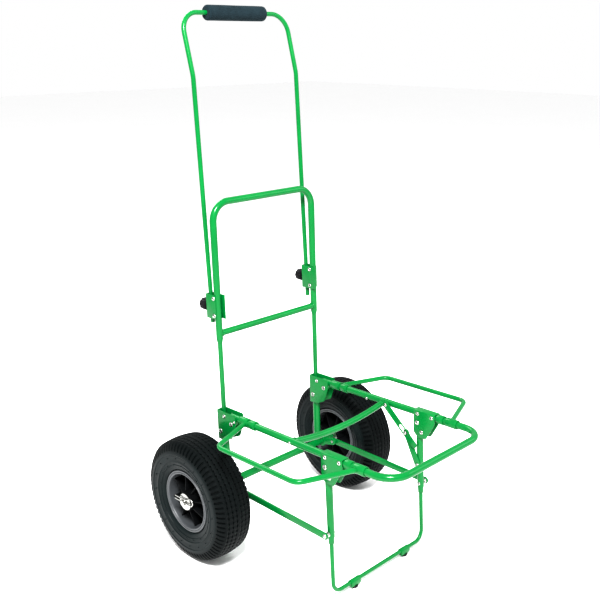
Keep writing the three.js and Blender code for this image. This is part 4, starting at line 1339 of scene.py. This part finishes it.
@dataclass
class Platform:
    """The folding platform: its rails, the sagging cross bow, the brackets for the stand, and both wings."""

    places: Places
    plane: float = 135.0
    rail_z: float = 156.0
    tail_y: float = -22.0
    front_y: float = -450.0
    corner: float = 43.0
    tube: float = 7.0
    pivot: Pair = (-32.0, 145.0)
    bow: Pair = (-201.5, 154.0)
    bow_sag: float = 12.0
    bow_radius: float = 6.5
    bracket_half: float = 8.45
    stand_pivot: Pair = (-296.0, 137.0)
    stop: Pair = (-307.4, 119.0)
    wing_x: float = 247.0
    wing_tube: float = 5.0
    wing_bend: float = 22.0
    wing_start: float = 6.0
    wing_roots: dict[WingEnd, float] = field(default_factory=lambda: dict(zip(WingEnd, (-67.0, -373.0))))
    wing_corners: dict[WingEnd, float] = field(default_factory=lambda: dict(zip(WingEnd, (-113.0, -328.0))))
    sleeve_y: dict[WingEnd, float] = field(default_factory=lambda: dict(zip(WingEnd, (-63.0, -377.0))))
    sleeve: float = 9.3
    sleeve_half: float = 13.0
    collar: float = 16.0
    tooth: float = 6.0

    def rails(self) -> Shapes:
        """The rails and front bar in one bent tube, with the lugs under their tails."""
        p, z = self.plane, self.rail_z
        route = [(-p, self.tail_y, z), (-p, self.front_y, z), (p, self.front_y, z), (p, self.tail_y, z)]
        shapes = [swept(route, [self.corner] * 2, self.tube, wall=1.2, steps=16)]
        y, low = self.pivot
        for side in Side:
            x = side.x(p)
            shapes.append(linked((y, low), (y, low + 6.5), 6.2, x - 5, x + 5, 0.8))
        return shapes

    def cross_bow(self) -> Shapes:
        """The bow between the rails, with its weld beads."""
        y, z = self.bow
        end = self.plane - self.tube - 0.4
        drop = 2 * self.bow_sag
        half_turn = math.atan2(drop, end)
        radius = math.hypot(end, drop) / math.tan(half_turn) * 0.995
        shapes = [swept([(-end, y, z), (0, y, z - drop), (end, y, z)], [radius], self.bow_radius, steps=40)]
        for side in Side:
            shapes.append(beaded((side.x(end - 0.2), y, z), (1, 0, 0.1 * side.value), self.bow_radius + 0.1))
        return shapes

    def bracket(self, side: Side) -> Shapes:
        """The saddle over the rail whose cheeks hold the stand's leg."""
        web = self.rail_z + self.tube + 1.15
        cuts = (((0, 116, 287), (0, -10, -10)), ((0, 106, 318), (0, -22, 38)))
        shape = Channel(self.bracket_half, 106.0, web, 287.0, 340.0, cuts=cuts).made()
        x = side.x(self.plane)
        over = Matrix(((1, 0, 0, x), (0, 0, -1, 0), (0, 1, 0, 0), (0, 0, 0, 1)))
        shape.transform(over)
        return [shape]

    def rivets(self) -> Shapes:
        """The brackets' rivets, the stop pins and the rivets through the bow's ends."""
        face = self.bracket_half + HALF_SHEET
        made = []
        for side in Side:
            x = side.x(self.plane)
            made += PivotPin(face, self.stop, 3.0, 4.4).shapes(x)
            for way in (-1, 1):
                for y, z in ((-297.0, 157.0), (-332.0, 157.0)):
                    made.append(riveted((x + way * face, y, z), (way, 0, 0), 4.2))
            outside, inside = side.x(self.plane + self.tube - 0.4), side.x(self.plane - self.tube + 0.5)
            made.append(riveted((outside, -200.0, 154.0), (side.value, 0, 0), 3.4))
            made.append(riveted((inside, -157.0, 152.5), (-side.value, 0, 0), 3.0))
        return made

    def tooth_shape(self, side: Side, inner: float, span: Pair, first: float, sweep: float) -> BMesh:
        """A stop tooth on a ring round the rail, mirrored on the right side.

        Args:
            side: the cart's side.
            inner: the tooth's inner radius.
            span: where it starts and ends along the rail.
            first: angle where it starts, in degrees from +X towards +Z on the left side.
            sweep: angle that it covers, in degrees.
        Returns:
            The tooth's mesh.
        """
        low, high = sorted(span)
        outer = self.sleeve - 0.2
        section = [(inner, low), (outer, low), (outer, high), (inner, high)]
        start, turn = math.radians(first), math.radians(sweep)
        if side is Side.RIGHT:
            start = math.pi - start - turn
        return sector(section, (side.x(self.plane), 0, self.rail_z), start, turn)

    def collar_shapes(self, side: Side, end: WingEnd) -> Shapes:
        """The fixed collar beyond a wing's sleeve, with the tooth that stops the wing."""
        at, way = (side.x(self.plane), 0, self.rail_z), end.value
        edge = self.sleeve_y[end] + way * self.sleeve_half
        far = edge + way * self.tooth
        low, high = sorted((far, far + way * self.collar))
        ring = ringed(self.sleeve, self.tube + 0.4, low, high, at, (0, 1, 0), 0.9)
        span = (edge + 0.4 * way, far + 0.5 * way)
        return [ring, self.tooth_shape(side, 7.4, span, 222, 96)]

    def wing(self, side: Side) -> Shapes:
        """A wing: the bent bar, and a sleeve with a stop tooth at each end."""
        x0, x1, z = side.x(self.plane), side.x(self.wing_x), self.rail_z
        rear, front = WingEnd
        start = x0 + side.x(self.wing_start)
        route = [(start, self.wing_roots[rear] - 2, z), (x1, self.wing_corners[rear], z)]
        route += [(x1, self.wing_corners[front], z), (start, self.wing_roots[front] + 2, z)]
        shapes = [swept(route, [self.wing_bend] * 2, self.wing_tube, steps=14)]
        at, half = (x0, 0, z), self.sleeve_half
        for end in WingEnd:
            root, middle = self.wing_roots[end], self.sleeve_y[end]
            shapes.append(ringed(self.sleeve, 7.7, middle - half, middle + half, at, (0, 1, 0), 0.9))
            edge = middle + end.value * half
            span = (edge - 0.6 * end.value, edge + 5.6 * end.value)
            shapes.append(self.tooth_shape(side, 7.8, span, -40, 80))
            out = Vector((x1 - x0, self.wing_corners[end] - root, 0)).normalized()
            weld = Vector((x0, root, z)) + out * (self.sleeve + 0.6)
            shapes.append(beaded(weld, out, self.wing_tube + 0.1, 1.1))
        return shapes

    def build(self) -> None:
        """Makes the platform's pieces and the wings."""
        cart = self.places.cart
        Piece("platform_rails", cart, self.rails()).dressed(GREEN, "platform", "platform_frame")
        Piece("bow_tube", cart, self.cross_bow()).dressed(GREEN, "platform", "cross_bow")
        for side in Side:
            word = side.word
            bracket = Piece(f"bracket_{word}_front", cart, self.bracket(side))
            bracket.dressed(GREEN, "platform", f"front_bracket_{word}")
            pin = PivotPin(self.bracket_half + HALF_SHEET, self.stand_pivot).shapes(side.x(self.plane))
            Piece(f"pin_{word}_stand", cart, pin).dressed(ZINC, "platform", f"stand_pin_{word}")
            for end in WingEnd:
                name = end.name.lower()
                collar = Piece(f"collar_{word}_{name}", cart, self.collar_shapes(side, end))
                collar.dressed(GREEN, "platform", f"wing_collar_{name}_{word}")
            Piece(f"wing_{word}_bar", cart, self.wing(side)).dressed(GREEN, f"wing_{word}", f"wing_{word}")
        Piece("rivets_platform", cart, self.rivets()).dressed(ZINC, "platform")


# ------------------------------------------------------------------ stand, struts and brace


@dataclass
class Stand:
    """The folding front stand on rubber feet, in a frame whose origin is its pivot."""

    places: Places
    plane: float = 135.0
    leg: float = 7.0
    top: float = 6.0
    swage: float = -146.0
    bottom: float = -158.0
    loop_drop: float = 265.5
    loop_corner: float = 22.0
    loop_tube: float = 4.0
    foot_x: float = 76.0

    def leg_shapes(self, side: Side) -> Shapes:
        """A leg, rounded over its pivot and drawn in where it holds the loop."""
        r = self.leg
        profile = [
            (4.4, self.bottom),
            (5.4, self.bottom),
            (5.8, self.bottom + 0.5),
            (5.8, self.swage - 3),
            (6.4, self.swage - 0.5),
            (r, self.swage + 2),
            (r, self.top - 0.6),
            (r - 0.6, self.top),
            (r - 1.2, self.top),
            (r - 1.2, self.top - 8),
            (4.4, self.top - 8),
        ]
        return [turned(profile, (side.x(self.plane), 0, 0), (0, 0, 1), closed=True)]

    def loop(self) -> Shapes:
        """The thin loop between the legs."""
        p, low, high = self.plane, -self.loop_drop, self.swage + 2
        route = [(-p, 0, high), (-p, 0, low), (p, 0, low), (p, 0, high)]
        return [swept(route, [self.loop_corner] * 2, self.loop_tube)]

    def upright(self, side: Side) -> tuple[Matrix, float]:
        """A foot's place on the loop's bar, upright to the ground, and how far the ground is below it."""
        pad_low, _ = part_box(f"rubber_foot_{side.word}")
        middle = self.places.stand @ Vector((side.x(self.foot_x), 0, -self.loop_drop))
        return Matrix.Translation(middle) @ Matrix.Scale(MM, 4), (middle.z - pad_low.z) / MM

    def clip(self) -> Shapes:
        """The folded strap round the loop's bar, closed under it by a flat piece."""
        outer = self.loop_tube + 0.4 + 1.2
        strap = ringed(outer, self.loop_tube + 0.1, -13, 13, (0, 0, 0), (1, 0, 0), 0.5)
        sides = (-0.88 * outer, 0.88 * outer)
        cheeks = [blocked((-13, y - 0.7, -8), (13, y + 0.7, 1), 0.35) for y in sides]
        return [strap, *cheeks, blocked((-13, -outer + 0.6, -8), (13, outer - 0.6, -6.4), 0.4)]

    def pad(self, height: float) -> Shapes:
        """The rubber foot: a tapered pad with a moulded ring."""
        top = -8.3
        floor = -height
        profile = [
            (0, floor),
            (4.4, floor),
            (5.0, floor + 0.5),
            (6.6, (top + floor) / 2),
            (7.2, (top + floor) / 2 + 0.3),
            (7.8, top - 1.4),
            (8.0, top - 0.8),
            (7.6, top),
            (0, top),
        ]
        return [turned(profile, axis=(0, 0, 1))]

    def build(self) -> None:
        """Makes the stand's pieces."""
        stand = self.places.stand
        Piece("stand_loop_tube", stand, self.loop()).dressed(GREEN, "stand", "stand_loop")
        for side in Side:
            word = side.word
            leg = self.leg_shapes(side)
            Piece(f"stand_{word}_leg", stand, leg).dressed(GREEN, "stand", f"stand_leg_{word}")
            foot, height = self.upright(side)
            Piece(f"clip_{word}_strap", foot, self.clip()).dressed(GREEN, "stand", f"foot_clip_{word}")
            Piece(f"foot_{word}_pad", foot, self.pad(height)).dressed(FOOT, "stand", f"rubber_foot_{word}")


@dataclass
class Struts:
    """The flat struts from the axle tube to the stand, with their rivets."""

    places: Places
    rear: Pair = (-35.6, 8.05)
    front: Pair = (-299.6, 0.05)
    inner: float = 149.4
    thickness: float = 3.0
    half_width: float = 7.0
    leg_face: float = 142.0
    leg_back: float = 128.1
    front_tail: float = 140.0
    rear_tail: float = 143.0

    def pin(self, side: Side, eye: Pair, tail: float) -> Shapes:
        """A strut's rivet: its head outside and its shank through to the piece behind."""
        face = self.inner + self.thickness + 0.3
        shank = shanked(*sorted((side.x(tail), side.x(face))), eye)
        return [shank, riveted((side.x(face), *eye), (side.value, 0, 0), 4.4, 1.8)]

    def spacer(self, side: Side) -> BMesh:
        """The shoulder between the stand's leg and the strut."""
        low, high = sorted((side.x(self.leg_face + 0.3), side.x(self.inner - 0.3)))
        return shanked(low, high, self.front, 5.0, 24)

    def build(self) -> None:
        """Makes both struts and their rivets."""
        cart = self.places.cart
        for side in Side:
            word = side.word
            x0, x1 = sorted((side.x(self.inner), side.x(self.inner + self.thickness)))
            bar = linked(self.rear, self.front, self.half_width, x0, x1, 0.6)
            Piece(f"strut_{word}_bar", cart, [bar]).dressed(GREEN, f"strut_{word}", f"strut_{word}")
            back = riveted((side.x(self.leg_back), *self.front), (-side.value, 0, 0), 3.8, 1.6)
            front = [*self.pin(side, self.front, self.front_tail), self.spacer(side), back]
            Piece(f"pin_{word}_strut_front", cart, front).dressed(ZINC, "stand", f"strut_front_pin_{word}")
            rear = self.pin(side, self.rear, self.rear_tail)
            Piece(f"pin_{word}_strut_rear", cart, rear).dressed(ZINC, "frame", f"strut_rear_pin_{word}")


@dataclass
class Brace:
    """The locking brace on the left side: a slotted upper link with a finger tab, and a lower link."""

    places: Places
    top: Pair = (-216.0, 155.5)
    middle: Pair = (-268.5, 107.8)
    foot: Pair = (-298.45, 43.6)
    upper_x: float = 121.4
    lower_x: float = 124.7
    thickness: float = 2.2
    half_width: float = 7.2
    overhang: float = 30.0
    far_end: float = 129.1
    slot: Point = (15.6, 0.7, 4.7)

    def pin(self, head_x: float, tail_x: float, eye: Pair) -> Shapes:
        """A brace pin with its head towards the middle of the cart."""
        return [shanked(head_x, tail_x, eye), riveted((head_x - 0.1, *eye), (-1, 0, 0), 3.9, 1.6)]

    def build(self) -> None:
        """Makes the brace's links and pins."""
        cart = self.places.cart
        top, middle = Vector(self.top), Vector(self.middle)
        tip = tuple(middle + (middle - top).normalized() * self.overhang)
        reach = (middle - top).length
        back, front, slot_half = self.slot
        slot = (reach - back, reach + front, slot_half)
        upper = slotted(self.top, tip, self.half_width, slot, self.upper_x, self.upper_x + self.thickness)
        lower = linked(self.middle, self.foot, self.half_width, self.lower_x, self.lower_x + self.thickness)
        Piece("brace_upper_bar", cart, [upper]).dressed(GREEN, "brace_upper", "brace_upper_link")
        Piece("brace_lower_bar", cart, [lower]).dressed(GREEN, "brace_lower", "brace_lower_link")
        pins = (
            ("top", self.upper_x, self.far_end, self.top, "platform"),
            ("middle", self.upper_x, self.lower_x + self.thickness, self.middle, "brace_lower"),
            ("foot", self.lower_x, self.far_end, self.foot, "stand"),
        )
        for word, link_x, tail, eye, body in pins:
            pin = self.pin(link_x - 0.3, tail, eye)
            Piece(f"pin_brace_{word}", cart, pin).dressed(ZINC, body, f"brace_{word}_pin")


# ------------------------------------------------------------------ studio


@dataclass
class Studio:
    """A pale floor, soft light and the camera."""

    camera_at: Point = (-1.1512, -1.0996, 1.0322)
    camera_way: Point = (0.6665, 0.6845, -0.2954)
    lens: float = 51.09
    sensor: float = 36.0
    aim_height: float = 0.45
    gamma: float = 0.78

    def floor(self) -> None:
        """A wide pale floor just under the cart."""
        bm = bmesh.new()
        bmesh.ops.create_grid(bm, x_segments=2, y_segments=2, size=14)
        mesh = bpy.data.meshes.new("floor")
        bm.to_mesh(mesh)
        bm.free()
        mesh.materials.append(PaleFloor("pale_floor", "floor", (0.97, 0.97, 0.97), 0.9).material())
        made = bpy.data.objects.new("floor", mesh)
        bpy.context.scene.collection.objects.link(made)

    def light(self, name: str, at: Point, size: float, power: float) -> None:
        """A large soft light that looks at the cart's middle."""
        data = bpy.data.lights.new(name, "AREA")
        data.shape = "DISK"
        data.size = size
        data.energy = power
        made = bpy.data.objects.new(name, data)
        made.location = at
        way = Vector((0, 0, self.aim_height)) - Vector(at)
        made.rotation_euler = way.to_track_quat("-Z", "Y").to_euler()
        bpy.context.scene.collection.objects.link(made)

    def camera(self) -> None:
        """The camera at the cart's front right."""
        data = bpy.data.cameras.new("camera")
        data.lens = self.lens
        data.sensor_width = self.sensor
        made = bpy.data.objects.new("camera", data)
        made.location = self.camera_at
        made.rotation_euler = Vector(self.camera_way).to_track_quat("-Z", "Y").to_euler()
        bpy.context.scene.collection.objects.link(made)
        bpy.context.scene.camera = made

    def build(self) -> None:
        """Sets the studio up."""
        self.floor()
        self.light("key", at=(-1.4, -1.3, 2.7), size=0.8, power=270)
        self.light("fill", at=(2.2, -1.6, 1.8), size=1.6, power=22)
        self.light("back", at=(0.4, 2.4, 2.2), size=1.6, power=45)
        scene = bpy.context.scene
        scene.view_settings.view_transform = "Standard"
        scene.view_settings.gamma = self.gamma
        world = bpy.data.worlds.new("studio")
        world.use_nodes = True
        background = next(n for n in world.node_tree.nodes if n.type == "BACKGROUND")
        background.inputs["Color"].default_value = (1, 1, 1, 1)
        background.inputs["Strength"].default_value = 1.0
        scene.world = world
        self.camera()


def main() -> None:
    """Builds the studio and the cart."""
    logging.basicConfig(level=logging.INFO, format="%(message)s")
    noise.seed_set(NOISE_SEED)
    places = Places.from_frame(HANDLE_FOOT)
    Studio().build()
    for side in Side:
        Wheel(places, side).build()
    for assembly in (Axle, BackFrame, Handle, Platform, Stand, Struts, Brace):
        assembly(places).build()
    for kind in ("hub_bush", "inner_washer"):
        for side in Side:
            materials = frame["nodes"][f"{kind}_{side.word}"].data.materials
            materials.clear()
            materials.append(ZINC.material())


if __name__ == "__main__":
    main()
